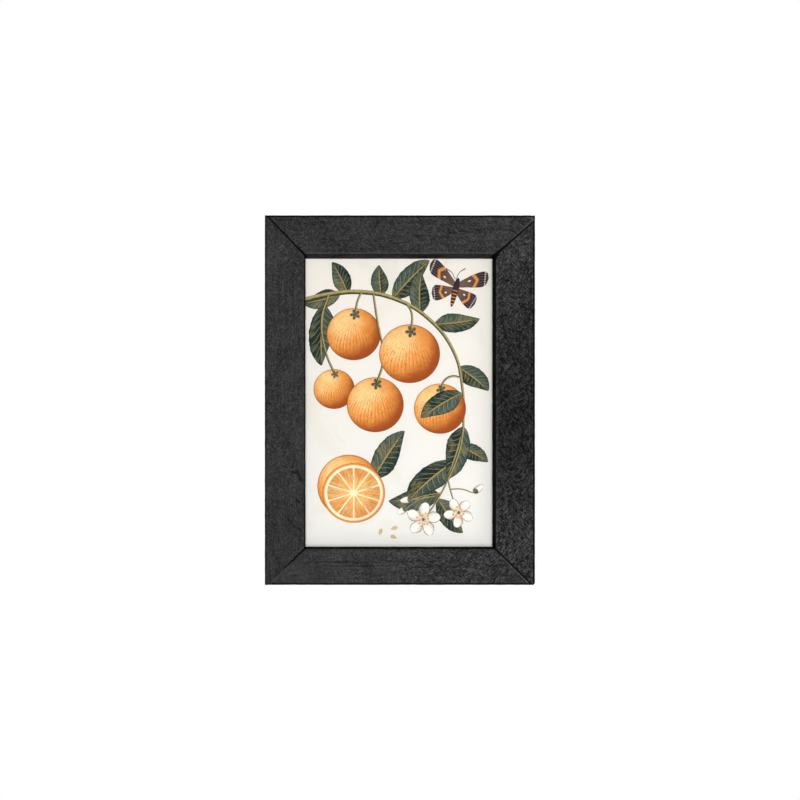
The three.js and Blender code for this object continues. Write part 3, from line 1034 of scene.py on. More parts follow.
class Sheet:
    """The sheet being drawn: its plates by kind, and how many layers lie on each cell."""

    def __init__(self):
        self.plates = {}
        self.layers = {}
        self.draw = random.Random(7)
        circle = bpy.ops.mesh.primitive_circle_add
        self.masters = {
            "leaf": add_blade("leaf", leaf_width, 30, 6, 0.035),
            "petal": add_blade("petal", petal_width, 18, 6, 0.03),
            "wing": add_blade("wing", wing_width, 22, 8, 0.02),
            "body": add_blade("body", body_width, 20, 4),
            "disc": add(circle, "disc", vertices=72, radius=1, fill_type="NGON"),
        }

    def lay(self, kind, ink, shape, place, size, turn=0.0, bend=0.0, tint=None):
        """Lays one plate: size is its length and width, or its two radii; angles are degrees."""
        plate = copy_of(self.masters[shape], "plate")
        if bend:
            way = {"deform_method": "BEND", "deform_axis": "Z", "angle": math.radians(bend)}
            apply_modifier(plate, "SIMPLE_DEFORM", **way)
        put(plate, size=(size[0] * MM, size[1] * MM, 1))
        put(plate, (*place, 0), (0, 0, math.radians(turn)))
        self.keep(plate, kind, ink, tint)

    def strand(self, kind, ink, points, width_at):
        """Lays a band along a smooth line through these points."""
        guide = line_through(points)
        length = guide.data.splines[0].calc_length() / MM
        band = add_blade("band", width_at, max(8, round(length / 2.5)), 4)
        put(band, size=(length * MM, MM, 1))
        apply_modifier(band, "CURVE", object=guide, deform_axis="POS_X")
        drop(guide)
        self.keep(band, kind, ink, None)

    def keep(self, plate, kind, ink, tint):
        """Lifts the plate to its layer, and keeps it with the others of its kind."""
        points = points_of(plate)
        cells = set()
        for face in plate.data.polygons:
            corners = points[list(face.vertices), :2] // CELL
            (left, low), (right, high) = corners.min(axis=0), corners.max(axis=0)
            cells.update((x, y) for x in np.arange(left, right + 1) for y in np.arange(low, high + 1))
        layer = 1 + max(self.layers.get(cell, 0) for cell in cells)
        self.layers.update(dict.fromkeys(cells, layer))
        points[:, 2] = layer * LAYER
        move_points(plate, points)
        write_attribute(plate, "tint", np.full(len(points), self.draw.random() if tint is None else tint))
        plate.data.materials.clear()
        plate.data.materials.append(bpy.data.materials[ink + "_ink"])
        self.plates.setdefault(kind, []).append(plate)


def line_through(points):
    """A flat curve through these points."""
    data = bpy.data.curves.new("guide", "CURVE")
    data.dimensions = "2D"
    data.resolution_u = 24
    spline = data.splines.new("BEZIER")
    spline.bezier_points.add(len(points) - 1)
    for knot, (x, y) in zip(spline.bezier_points, points):
        knot.co = (x * MM, y * MM, 0)
        knot.handle_left_type = knot.handle_right_type = "AUTO"
    guide = bpy.data.objects.new("guide", data)
    bpy.context.scene.collection.objects.link(guide)
    bpy.context.view_layer.update()
    return guide


# The branch and its twigs: points from the root on, half width at the root, and taper
TWIGS = (
    (((-99, 104), (-74, 110), (-40, 113), (-4, 106), (30, 86), (56, 52), (65, 14), (66, -26)), 5.4, 3.2),
    (((66, -24), (62, -48), (52, -74), (40, -98), (28, -116)), 2.4, 0.9),
    (((50, -78), (54, -94), (60, -110)), 1.7, 0.4),
    (((53, -88), (64, -88), (76, -92)), 1.4, 0.3),
    (((43, -92), (28, -94), (14, -98)), 1.4, 0.3),
    (((30, -94), (18, -100), (8, -107)), 1.3, 0.3),
)

# Leaves: root, direction in degrees, length, width, and bend in degrees
LEAVES_BEHIND = (
    ((-60, 111), 200, 40, 19, -25),
    ((-52, 112), 112, 36, 20, 20),
    ((-18, 109), 98, 32, 19, -15),
    ((-6, 106), 52, 56, 24, -28),
    ((22, 91), 96, 44, 22, -30),
    ((36, 80), 2, 48, 21, 24),
    ((-76, 100), 262, 64, 27, 26),
    ((61, 36), 330, 40, 22, -30),
    ((62, -44), 336, 34, 18, -22),
    ((40, -98), 300, 44, 22, 26),
    ((42, -94), 192, 54, 25, -24),
    ((56, -60), 214, 64, 28, 30),
    ((66, -24), 258, 58, 26, -26),
)
LEAVES_IN_FRONT = (((64, 10), 206, 50, 24, 24),)

# Fruits: middle, radius, and the stalk's way from the branch to the fruit's top
FRUITS = (
    ((-66, 14), 21, ((-72, 110), (-79, 84), (-74, 50), (-65, 29))),
    ((-46, 70), 27.5, ((-38, 113), (-42, 104), (-44.6, 90))),
    ((42, -6), 26.5, ((63, 26), (54, 27), (46, 22), (43.3, 13))),
    ((-24, -2), 29, ((-26, 111), (-22, 84), (-16, 44), (-22.5, 19))),
    ((11, 50), 31, ((8, 101), (13, 92), (12.5, 72.5))),
)
CUT_FRUIT = ((-46, -92), 32)
CUT_FRUIT_LEAF = ((-26, -78), 62, 60, 27, -22)
PIPS = ((20, 0.42), (95, 0.38), (170, 0.44), (244, 0.4), (310, 0.43))
LOOSE_PIPS = (((-8, -129), 20), ((-20, -135), 70), ((-2, -138), 160))

# Blossoms: middle, petal length, first direction. Buds: root, direction, length
BLOSSOMS = (((25, -119), 15.5, 10), ((61, -112), 13.5, 47))
BUDS = (((14, -98), 190, 13), ((76, -92), 40, 13), ((8, -107), 215, 11))
MOTH = ((58, 116), -14)


def draw_leaves(sheet, leaves):
    for root, turn, length, width, bend in leaves:
        sheet.lay("leaves", "leaf", "leaf", root, (length, width), turn, bend)


def draw_branch(sheet):
    """The branch from the upper left to the lower right, and the twigs at its end."""
    for points, root, taper in TWIGS:
        sheet.strand("branch", "bark", points, lambda u: root - taper * u)


def draw_fruits(sheet):
    """Whole fruits, each with its stalk and a small green collar."""
    for (x, y), radius, stalk in FRUITS:
        sheet.lay("fruits", "fruit", "disc", (x, y), (radius, radius * 0.965))
        sheet.strand("branch", "bark", stalk, lambda u: 2.2 + 0.5 * u**6)
        for spoke in range(5):
            size = (radius * 0.2, radius * 0.11)
            sheet.lay("leaves", "leaf", "petal", stalk[-1], size, 40 + 72 * spoke, 0, 0.8)


def draw_cut_fruit(sheet):
    """Half a fruit, cut across, in front of its other half, with a leaf and pips."""
    (x, y), radius = CUT_FRUIT
    draw_leaves(sheet, (CUT_FRUIT_LEAF,))
    sheet.lay("fruits", "fruit", "disc", (x - 5, y + 7), (radius, radius), 0, 0, 0.5)
    sheet.lay("fruits", "cut_fruit", "disc", (x, y), (radius, radius * 0.95), 0, 0, 0.5)
    for angle, reach in PIPS:
        out = math.radians(angle)
        place = (x + radius * reach * math.cos(out), y + radius * reach * math.sin(out))
        sheet.lay("fruits", "petal", "petal", place, (6.6, 3.4), angle, 0, 0.3)
    for place, turn in LOOSE_PIPS:
        sheet.lay("fruits", "petal", "petal", place, (7, 3.6), turn, 0, 0.1)


def draw_blossoms(sheet):
    """Five-petalled blossoms with stamens, and closed buds."""
    for (x, y), size, start in BLOSSOMS:
        for number in range(5):
            turn = start + 72 * number
            sheet.lay("blossoms", "petal", "petal", (x, y), (size * 1.15, size * 0.76), turn, 14, 0.75)
        for number in range(12):
            turn = math.radians(start + 30 * number)
            reach = size * (0.3 + 0.07 * (number % 3))
            tip = (x + reach * math.cos(turn), y + reach * math.sin(turn))
            sheet.strand("blossoms", "petal", ((x, y), tip), lambda u: 0.4)
            sheet.lay("blossoms", "fruit", "disc", tip, (1, 1), 0, 0, 0.5)
        sheet.lay("blossoms", "leaf", "disc", (x, y), (1.5, 1.5), 0, 0, 0.9)
    for place, turn, length in BUDS:
        sheet.lay("blossoms", "petal", "body", place, (length, 7.5), turn, 0, 0.75)
        sheet.lay("blossoms", "leaf", "petal", place, (length * 0.42, 6), turn, 0, 0.8)


def draw_moth(sheet):
    """A dark moth with its wings spread, in the upper right corner."""
    (x, y), tilt = MOTH
    for side in (-1, 1):
        fore, hind = 90 - side * 58, 90 - side * 118
        sheet.lay("moth", "wing", "wing", (x, y), (25, 21), tilt + hind, side * 10, 0.3)
        sheet.lay("moth", "wing", "wing", (x, y + 3), (35, 20), tilt + fore, side * -16, 0.6)
        feeler = [(x + side * a, y + b) for a, b in ((0.5, 10), (4, 17), (10, 21))]
        sheet.strand("moth", "moth_body", feeler, lambda u: 0.55 + 0.7 * u * u)
    turn = math.radians(tilt + 270)
    root = (x - 12 * math.cos(turn), y - 12 * math.sin(turn))
    sheet.lay("moth", "moth_body", "body", root, (31, 6.6), tilt + 270, 0, 0.5)


def add_paper(low, high):
    """The paper itself, its cut edges not quite straight."""
    grid = bpy.ops.mesh.primitive_grid_add
    paper = add(grid, "art_paper", x_subdivisions=60, y_subdivisions=90, size=1)
    size = high - low
    put(paper, size=(size.x * MM, size.z * MM, 1))
    apply_modifier(paper, "SOLIDIFY", thickness=size.y * MM, offset=-1)
    points = points_of(paper)
    for axis, length, depth, wave in ((0, size.x, 0.0006, 0.31), (1, size.z, 0.0004, 0.27)):
        edge = abs(abs(points[:, axis]) - length / 2) < 0.01
        points[edge, axis] *= 1 - depth * (1 + np.sin(points[edge, 1 - axis] * wave))
    move_points(paper, points)
    return paper


def crop(piece, low, high):
    """Cuts the plates off at the sheet's edges."""
    edit(piece)
    for corner, side in ((low, -1), (high, 1)):
        cut_flat((corner.x, 0, 0), (side, 0, 0), True)
        cut_flat((0, corner.z, 0), (0, side, 0), True)
    close_edit()


def add_print():
    """The paper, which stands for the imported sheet, and the ink on it, one piece for each kind."""
    low, high = box_mm("art_print")
    middle = (low + high) / 2
    upright = ((middle.x, low.y, middle.z), (QUARTER, 0, 0))
    sheet = Sheet()
    draw_leaves(sheet, LEAVES_BEHIND)
    draw_branch(sheet)
    draw_fruits(sheet)
    draw_leaves(sheet, LEAVES_IN_FRONT)
    draw_cut_fruit(sheet)
    draw_blossoms(sheet)
    draw_moth(sheet)
    drop(*sheet.masters.values())
    margin = Vector((0.6, 0, 0.6))
    for kind, plates in sheet.plates.items():
        ink = join(plates, "ink_" + kind)
        apply_modifier(ink, "SOLIDIFY", thickness=PLATE * MM, offset=-1)
        put(ink, (0, SIGHT_HEIGHT - middle.z, 0))
        crop(ink, low - middle + margin, high - middle - margin)
        put(ink, *upright)
        finish_piece(ink, "frame", "printed_paper", None)
    paper = add_paper(low, high)
    put(paper, *upright)
    finish_piece(paper, "frame", "printed_paper", bpy.data.materials["paper_ink"], "art_print")


def paper_finish(art):
    """Cream rag paper with faint blots, foxing and a little tooth."""
    ink = Finish("paper_ink")
    place = ink.place()
    height = ink.smooth(ink.along(place, 2), SIGHT_BOTTOM, SIGHT_TOP)
    damp = ink.noise(place, 0.018, 3, 0.45, 0.6)
    blots = ink.smooth(damp, 0.56, 0.68) * 0.4 + ink.line(damp - 0.6, 0.012) * 0.2
    cloud = ink.smooth(ink.noise(place, 0.03, 4, 0.6), 0.52, 0.78)
    foxing = 1 - ink.smooth(ink.spots(place, 0.085), 0.03, 0.1)
    fibre = ink.noise(place, 1.4, 3, 0.7)
    ground = ink.coats(
        ink.mix(height, art.cool_paper, art.paper),
        (blots, art.blot),
        (cloud * 0.3, (0.74, 0.75, 0.71)),
        (foxing * ink.smooth(ink.noise(place, 0.05), 0.55, 0.7) * 0.35, (0.62, 0.5, 0.34)),
    )
    tooth = {"roughness": 0.88, "specular_ior_level": 0.2, "normal": ink.bump(fibre, 0.05)}
    return ink.surface(base_color=ink.scaled(ground, 0.975 + fibre * 0.05), **tooth)


def inked(ink, colour, *coats):
    """A matt printed surface of this colour and its coats, with the paper's grain in it."""
    grain = ink.noise(ink.place(), 1.7, 3, 0.7)
    colour = ink.scaled(ink.coats(colour, *coats), 0.9 + grain * 0.2)
    return ink.surface(base_color=colour, roughness=0.84, specular_ior_level=0.2)


def leaf_finish(art):
    """A hand-coloured leaf: a lit and a shaded half, ochre veins and fine hatching."""
    ink = Finish("leaf_ink")
    place, (u, v) = ink.place(), ink.blade()
    off = ink.absolute(v)
    rank = u * 9 - off * 4.6 + off * off * 3 + ink.noise(place, 0.12, 2) * 0.35
    patch = ink.smooth(ink.noise(place, 0.1, 4, 0.6, 0.8), 0.4, 0.66)
    lit = ink.smooth(v, -0.05, 0.08) * 0.45 + ink.attribute("tint") * 0.2 + patch * 0.45 - 0.1
    dry = patch * ink.smooth(ink.noise(place, 0.05), 0.44, 0.6)
    vein = ink.line(ink.saw(rank), 0.075) * (1 - ink.smooth(off, 0.3, 0.47))
    rib = ink.line(v, 0.045) * (1 - ink.smooth(u, 0.82, 1.0))
    colour = ink.mix(lit, art.leaf_dark, art.leaf_light)
    colour = ink.mix(dry * 0.6, colour, ink.scaled(art.vein, 0.8))
    return inked(
        ink,
        colour,
        (ink.line(ink.saw(rank * 6), 0.36) * 0.55, ink.scaled(colour, 0.3)),
        (ink.line(ink.saw(rank - 0.14), 0.15) * 0.6, art.leaf_dark),
        (ink.line(v + 0.05, 0.05) * 0.8, ink.scaled(art.leaf_dark, 0.5)),
        (ink.most(vein * 0.8, rib * 0.95), art.vein),
        (ink.smooth(off, 0.44, 0.48) * 0.85, ink.scaled(art.leaf_dark, 0.6)),
    )


def fruit_finish(art):
    """A round fruit, lit from the upper left, with engraved lines from pole to pole and pores."""
    ink = Finish("fruit_ink")
    place, (x, y) = ink.place(), ink.disc()
    out = ink.math("MINIMUM", x * x + y * y, 1.0)
    up = (1 - out) ** 0.5
    grain = ink.noise(place, 0.8, 4, 0.7) - 0.5
    cloud = ink.noise(place, 0.11, 2, 0.5) - 0.5
    tone = x * -0.42 + y * 0.46 + up * 0.78 + grain * 0.35 + cloud * 0.35
    meridian = ink.math("ARCTAN2", x, y * 0.69 - up * 0.72 + 0.001) * (46 / (2 * math.pi))
    score = ink.line(ink.saw(meridian + grain * 0.5), 0.22)
    gleam = ink.line(ink.saw(meridian + 0.35 + grain * 0.5), 0.16) * ink.smooth(tone, 0.3, 0.8)
    broken = ink.smooth(ink.noise(place, 0.35, 2, 0.6), 0.4, 0.6) * 0.5
    swell = ink.joined(x / (1.25 + up), y / (1.25 + up), 0)
    pore = 1 - ink.smooth(ink.spots(swell, 15, 0.8), 0.12, 0.3)
    hatch = ink.line(ink.saw(x * 9 + y * 14 + grain * 1.5), 0.3) * ink.smooth(tone, 0.45, -0.1)
    return inked(
        ink,
        ink.mix(ink.smooth(tone, -0.15, 0.72), art.fruit_deep, art.fruit),
        (ink.smooth(tone, 0.58, 1.12), art.fruit_light),
        (score * broken, art.fruit_deep),
        (gleam * broken, (0.93, 0.8, 0.5)),
        (pore * 0.45, art.fruit_deep),
        (hatch * 0.5, (0.2, 0.04, 0.012)),
        (ink.smooth(out, 0.93, 0.985) * 0.8, (0.2, 0.045, 0.012)),
    )


def cut_fruit_finish(art):
    """A fruit cut across: rind, pith, ten segments and their vesicles."""
    ink = Finish("cut_fruit_ink")
    x, y = ink.disc()
    out = (x * x + y * y) ** 0.5
    turn = ink.math("ARCTAN2", y, x) * (10 / (2 * math.pi))
    wall = ink.line(ink.saw(turn + 0.5) * out, 0.055)
    ring = [ink.math(wave, turn * 0.628) * 9 for wave in ("SINE", "COSINE")]
    cells = ink.noise(ink.joined(*ring, out * 2.4), 1.6, 4, 0.65)
    return inked(
        ink,
        ink.mix(ink.smooth(cells, 0.35, 0.68), art.fruit, art.fruit_light),
        (ink.smooth(out, 0.2, 0.8) * 0.35, art.fruit_deep),
        (wall * 0.9, (0.9, 0.78, 0.5)),
        (1 - ink.smooth(out, 0.09, 0.14), (0.9, 0.78, 0.5)),
        (ink.smooth(out, 0.83, 0.86), (0.9, 0.81, 0.6)),
        (ink.smooth(out, 0.915, 0.94), art.fruit),
        (ink.smooth(x * 0.6 - y * 0.7, 0.2, 1.1) * 0.3, art.fruit_deep),
        (ink.smooth(out, 0.975, 0.99) * 0.7, (0.24, 0.05, 0.012)),
    )


def bark_finish(art):
    """A green and ochre twig, dark along one side."""
    ink = Finish("bark_ink")
    u, v = ink.blade()
    streak = ink.noise(ink.place(), 0.8, 4, 0.7) - 0.5
    return inked(
        ink,
        ink.mix(ink.smooth(v + streak * 0.5, -0.25, 0.1), art.bark_dark, art.bark),
        (ink.line(ink.saw(u * 38 + streak * 2), 0.12) * 0.35, (0.05, 0.03, 0.015)),
        (ink.smooth(ink.absolute(v), 0.36, 0.48) * 0.75, art.line),
    )


def petal_finish(art):
    """A pale petal with grey and rose shading, fine lines and a drawn outline."""
    ink = Finish("petal_ink")
    u, v = ink.blade()
    lines = ink.line(ink.saw(v * 9 * (1.2 - u * 0.4)), 0.13) * (1 - ink.smooth(u, 0.5, 0.9))
    rim = ink.most(ink.smooth(ink.absolute(v), 0.39, 0.47), ink.smooth(u, 0.93, 0.98))
    return inked(
        ink,
        ink.mix(ink.smooth(u, 0.0, 0.6), (0.62, 0.56, 0.4), (0.9, 0.87, 0.8)),
        (ink.smooth(v, 0.0, 0.45) * 0.75, (0.5, 0.46, 0.44)),
        (lines * 0.5, (0.42, 0.33, 0.24)),
        (1 - ink.smooth(ink.attribute("tint"), 0.2, 0.6), (0.62, 0.42, 0.2)),
        (rim * 0.85, ink.scaled(art.line, 2)),
    )


def wing_finish(art):
    """A dark moth's wing with veins, a rust band and white dots along its margin."""
    ink = Finish("wing_ink")
    u, v = ink.blade()
    scale = ink.noise(ink.place(), 1.3, 4, 0.7) - 0.5
    band = ink.line(u - 0.66 + ink.absolute(v) * 0.25 + scale * 0.05, 0.07)
    across, along = ink.saw(v * 8 + 0.5) * 1.1, (u - 0.89) * 9
    dot = 1 - ink.smooth((across * across + along * along) ** 0.5, 0.17, 0.27)
    eye = 1 - ink.smooth((((u - 0.42) * 4) ** 2 + (v * 2.4 - 0.25) ** 2) ** 0.5, 0.14, 0.22)
    return inked(
        ink,
        ink.mix(ink.smooth(u + scale * 0.3, 0.1, 0.8), (0.16, 0.09, 0.06), art.wing),
        (band * 0.85, art.fruit),
        (ink.line(ink.saw(v * 6), 0.1) * ink.smooth(u, 0.15, 0.4) * 0.6, (0.3, 0.2, 0.13)),
        (dot * 0.95, (0.88, 0.85, 0.78)),
        (eye * 0.9, (0.82, 0.76, 0.62)),
    )


def moth_body_finish(art):
    """The moth's furry body, ringed in rust."""
    ink = Finish("moth_body_ink")
    u, v = ink.blade()
    fur = ink.noise(ink.place(), 2.2, 3, 0.7) - 0.5
    rings = ink.line(ink.saw(u * 9 + fur * 0.3), 0.2) * ink.smooth(u, 0.35, 0.45)
    edge = ink.smooth(ink.absolute(v), 0.25, 0.5) * 0.6
    return inked(ink, ink.mix(rings * 0.8, art.wing, art.fruit), (edge, (0.02, 0.012, 0.014)))


INKS = (
    paper_finish,
    leaf_finish,
    fruit_finish,
    cut_fruit_finish,
    bark_finish,
    petal_finish,
    wing_finish,
    moth_body_finish,
)


class FRAMEDPRINT_OT_print(bpy.types.Operator):
    """Draws the fruit branch on its sheet of paper"""

    bl_idname = "framedprint.print"
    bl_label = "Print"

    def execute(self, context):
        for make in INKS:
            make(settings().art)
        add_print()
        return {"FINISHED"}


def glass_finish():
    """Clear glass: see-through, with the gloss of its surface."""
    ink = Finish("clear_glass")
    gloss = ink.node("Fresnel", {}, {"IOR": 1.5})
    clear = ink.node("BsdfTransparent", {}, {"Color": (*settings().back.glass, 1)})
    shine = ink.node("BsdfGlossy", {}, {"Roughness": 0.03})
    return ink.show(ink.blend(gloss * 0.6, clear, shine))


class FRAMEDPRINT_OT_glass(bpy.types.Operator):
    """Models the pane, its cut edges ground round"""

    bl_idname = "framedprint.glass"
    bl_label = "Glass"

    def execute(self, context):
        pane = add_box("glass_sheet", *box_mm("glass_pane"))
        round_edges(pane, 0.35 * MM, 3)
        smooth_by_angle(pane, 30)
        finish_piece(pane, "frame", "clear_glass", glass_finish(), "glass_pane")
        return {"FINISHED"}


def board_finish():
    """Pressed brown fibre, its rough side marked by the press's wire screen."""
    back = settings().back
    ink = Finish("hardboard")
    place = ink.place()
    fibre = ink.noise(ink.stretched(place, 0.9, 1, 1.6), 1.0, 5, 0.75, 0.6)
    flecks = ink.smooth(ink.noise(place, 2.6, 2, 0.6), 0.62, 0.75)
    patch = ink.noise(place, 0.03, 3, 0.6)
    wires = ink.saw(ink.along(place, 0) / 1.3) + ink.saw(ink.along(place, 2) / 1.3)
    colour = ink.mix(ink.smooth(fibre + (patch - 0.5) * 0.25, 0.34, 0.78), back.board_dark, back.board)
    colour = ink.mix(flecks * 0.4, colour, (0.3, 0.18, 0.1))
    return ink.surface(
        base_color=ink.scaled(colour, 0.86 + wires * 0.28),
        roughness=0.72 + (fibre - 0.5) * 0.2,
        specular_ior_level=0.3,
        normal=ink.bump(fibre * 0.5 + wires * 0.5, 0.12),
    )


def card_finish():
    """Grey-brown board with flecks of pulp."""
    ink = Finish("backing_card")
    place = ink.place()
    pulp = ink.noise(place, 1.2, 4, 0.7)
    flecks = ink.smooth(ink.noise(place, 2.2, 2), 0.64, 0.72)
    colour = ink.mix(flecks * 0.5, settings().back.card, (0.16, 0.12, 0.08))
    rough = {"roughness": 0.92, "specular_ior_level": 0.2, "normal": ink.bump(pulp, 0.06)}
    return ink.surface(base_color=ink.scaled(colour, 0.88 + pulp * 0.24), **rough)


def add_board():
    """The hardboard, its edges bruised and its faces a little uneven."""
    board = add_box("hardboard_back", *box_mm("back_board"))
    round_edges(board, 0.4 * MM, 2)
    edit(board)
    for cuts in (7, 6):
        pick(board, "edges", lambda first, second: (first - second).length > 4)
        bpy.ops.mesh.subdivide(number_cuts=cuts)
    close_edit()
    press(board, (40, 5, 40), 0, 0, "Y", 0.12, np.ones(len(board.data.vertices)))
    smooth_by_angle(board, 35)
    return board


class FRAMEDPRINT_OT_backing(bpy.types.Operator):
    """Models the hardboard back and finishes the card in front of it"""

    bl_idname = "framedprint.backing"
    bl_label = "Backing"

    def execute(self, context):
        finish_piece(add_board(), "frame", "hardboard", board_finish(), "back_board")
        dress(["backing_card"], card_finish())
        return {"FINISHED"}


def metal_finish(name, colour, tarnish):
    """Plated metal, brushed one way, with tarnish and small scratches."""
    ink = Finish(name)
    place = ink.place()
    brush = ink.noise(ink.stretched(place, 1.2, 9, 9), 1.0, 3, 0.6)
    cloud = ink.noise(place, 0.35, 4, 0.6)
    scratch = ink.line(ink.noise(ink.stretched(place, 0.5, 2, 3.1), 1.0, 2, 0.4, 1.5) - 0.5, 0.008)
    tone = ink.mix(ink.smooth(cloud, 0.5, 0.8) * 0.7, colour, tarnish)
    return ink.surface(
        base_color=ink.scaled(tone, 0.88 + brush * 0.24),
        metallic=1.0,
        roughness=0.3 + cloud * 0.22 + scratch * 0.12,
        normal=ink.bump(brush * 0.6 + scratch * -0.6, 0.012),
    )


def zinc_finish():
    """The one zinc plating that all the steel pieces share."""
    zinc = bpy.data.materials.get("zinc_plate")
    return zinc or metal_finish("zinc_plate", settings().back.zinc, (0.3, 0.31, 0.33))


HEEL_RADIUS = 5.0
TIP_RADIUS = 4.0
REACH = 15.0
BUTTON_HOLE = 1.55
BUTTON_SIDES = 48


def add_button():
    """A turn button along +X about the origin: a pressed plate with a rib and a hole."""
    low, high = box_mm("turn_button_top")
    thick, tip = high.y - low.y, REACH - TIP_RADIUS
    outline = {"vertices": BUTTON_SIDES, "radius": HEEL_RADIUS * MM, "fill_type": "NOTHING"}
    button = add(bpy.ops.mesh.primitive_circle_add, "turn_button", **outline)
    edit(button, "VERT", "SELECT")
    bpy.ops.mesh.extrude_region_move()
    bpy.ops.transform.resize(value=[BUTTON_HOLE / HEEL_RADIUS] * 3, center_override=(0, 0, 0))
    pick(button, "verts", lambda point: point.x > 0.01 and point.length > HEEL_RADIUS - 0.1)
    bpy.ops.transform.resize(value=[TIP_RADIUS / HEEL_RADIUS] * 3, center_override=(0, 0, 0))
    bpy.ops.transform.translate(value=(tip * MM, 0, 0))
    close_shape()
    close_edit()
    apply_modifier(button, "SOLIDIFY", thickness=thick * MM, offset=0)
    edit(button)
    close_shape()
    close_edit()
    combine(button, add_rib(thick, tip), "UNION")
    round_edges(button, settings().back.edge, 2, 50)
    smooth_by_angle(button, 35)
    put(button, turn=(QUARTER, 0, 0))
    return button


def add_rib(thick, tip):
    """The pressed rib along the button, standing off its outer side."""
    rib = add(bpy.ops.mesh.primitive_uv_sphere_add, "rib", segments=32, ring_count=16, radius=MM)
    put(rib, (tip * 0.66, 0, -thick / 4), size=(4.6, 1.15, 0.5))
    return rib


def place_button(master, name):
    """A copy of the button at its pivot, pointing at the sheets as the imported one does."""
    middle = middle_of("turn_button_" + name)
    joint = next(joint for joint in frame["joints"] if joint["child"] == "button_" + name)
    pivot = Vector(joint["pos_m"]) / MM
    turn = math.atan2(pivot.z - middle.z, middle.x - pivot.x)
    button = copy_of(master, "button_plate_" + name)
    put(button, (pivot.x, middle.y, pivot.z), (0, turn, 0))
    return button


class FRAMEDPRINT_OT_buttons(bpy.types.Operator):
    """Models the six turn buttons that hold the back in"""

    bl_idname = "framedprint.buttons"
    bl_label = "Turn buttons"

    def execute(self, context):
        master = add_button()
        for name in BUTTONS:
            button = place_button(master, name)
            finish_piece(button, "button_" + name, "zinc_steel", zinc_finish(), "turn_button_" + name)
        drop(master)
        return {"FINISHED"}


def add_turned(name, profile, sides=32):
    """A turned piece about Y from a profile of radius and place along Y."""
    piece = add(bpy.ops.mesh.primitive_plane_add, name, size=MM)
    edit(piece, "VERT", "SELECT")
    bpy.ops.mesh.merge(type="CENTER")
    bpy.ops.transform.translate(value=Vector((*profile[0], 0)) * MM)
    for (radius, along), (next_radius, next_along) in zip(profile, profile[1:]):
        step = Vector((next_radius - radius, next_along - along, 0)) * MM
        bpy.ops.mesh.extrude_region_move(TRANSFORM_OT_translate={"value": step})
    bpy.ops.mesh.select_all(action="SELECT")
    bpy.ops.mesh.spin(steps=sides, angle=2 * math.pi, center=(0, 0, 0), axis=(0, 1, 0))
    close_shape(0.005)
    close_edit()
    return piece


def arc(centre, radii, start, end, count):
    """Points of radius and place along Y on an oval arc between two angles in radians."""
    angles = np.linspace(start, end, count)
    return [(centre[0] + radii[0] * math.cos(a), centre[1] + radii[1] * math.sin(a)) for a in angles]


THREAD_PITCH = 1.1
THREAD_DEPTH = 0.28
SHANK_RADIUS = 1.25
POINT_LENGTH = 2.0
HEAD_HEIGHT = 1.6
CROSS_DEPTH = 0.9
CROSS_LENGTH = 2.8
CROSS_WIDTH = 0.7


def add_screw():
    """A pan-head screw about Y, its shank pointing to -Y from the head's underside at 0."""
    low, high = box_mm("button_screw_top")
    head, length, root = (high.x - low.x) / 2, high.y - low.y - HEAD_HEIGHT, SHANK_RADIUS - THREAD_DEPTH
    profile = [(0, -length), (SHANK_RADIUS * 0.5, POINT_LENGTH * 0.5 - length)]
    along = POINT_LENGTH - length
    while along < -2 * THREAD_PITCH:
        valley = [(root, along + THREAD_PITCH * share) for share in (0.3, 0.6)]
        profile += [(SHANK_RADIUS, along), *valley]
        along += THREAD_PITCH
    neck = SHANK_RADIUS - 0.1
    profile += [(neck, along), (neck, 0), (head - 0.2, 0), (head, 0.15), (head, 0.5)]
    profile += [*arc((0, 0.5), (head, HEAD_HEIGHT - 0.5), 0.15, 1.45, 9), (0, HEAD_HEIGHT)]
    screw = add_turned("screw", profile)
    floor = HEAD_HEIGHT - CROSS_DEPTH
    for x, z in ((CROSS_LENGTH / 2, CROSS_WIDTH / 2), (CROSS_WIDTH / 2, CROSS_LENGTH / 2)):
        cutter = add_box("cross", (-x, floor, -z), (x, HEAD_HEIGHT + CROSS_DEPTH, z))
        edit(cutter)
        pick(cutter, "faces", lambda middle, normal: normal.y < -0.9)
        bpy.ops.transform.resize(value=(0.82, 1, 0.82), center_override=(0, floor * MM, 0))
        close_edit()
        combine(screw, cutter)
    round_edges(screw, 0.06 * MM, 2, 45)
    smooth_by_angle(screw, 40)
    return screw


class FRAMEDPRINT_OT_screws(bpy.types.Operator):
    """Models the six cross-head screws that the buttons turn on"""

    bl_idname = "framedprint.screws"
    bl_label = "Screws"

    def execute(self, context):
        brass = metal_finish("brass_plate", settings().back.brass, (0.33, 0.2, 0.08))
        draw = random.Random(5)
        turns = [draw.uniform(0, math.pi) for _ in BUTTONS]
        screws = ("cross_screw_", "button_screw_", BUTTONS, ("brass_screw", brass))
        fit_copies(add_screw(), *screws, HEAD_HEIGHT, turns)
        return {"FINISHED"}


HANGER_THICK = 0.8
HANGER_STAND_OFF = 2.0
HANGER_ROUND = 3.0
FOOT_INNER = 21.0
RAMP = 2.0
TOOTH_PITCH = 3.0
TOOTH_DEPTH = 2.0
TEETH_EACH_SIDE = 5
NAIL_HOLE = 1.05


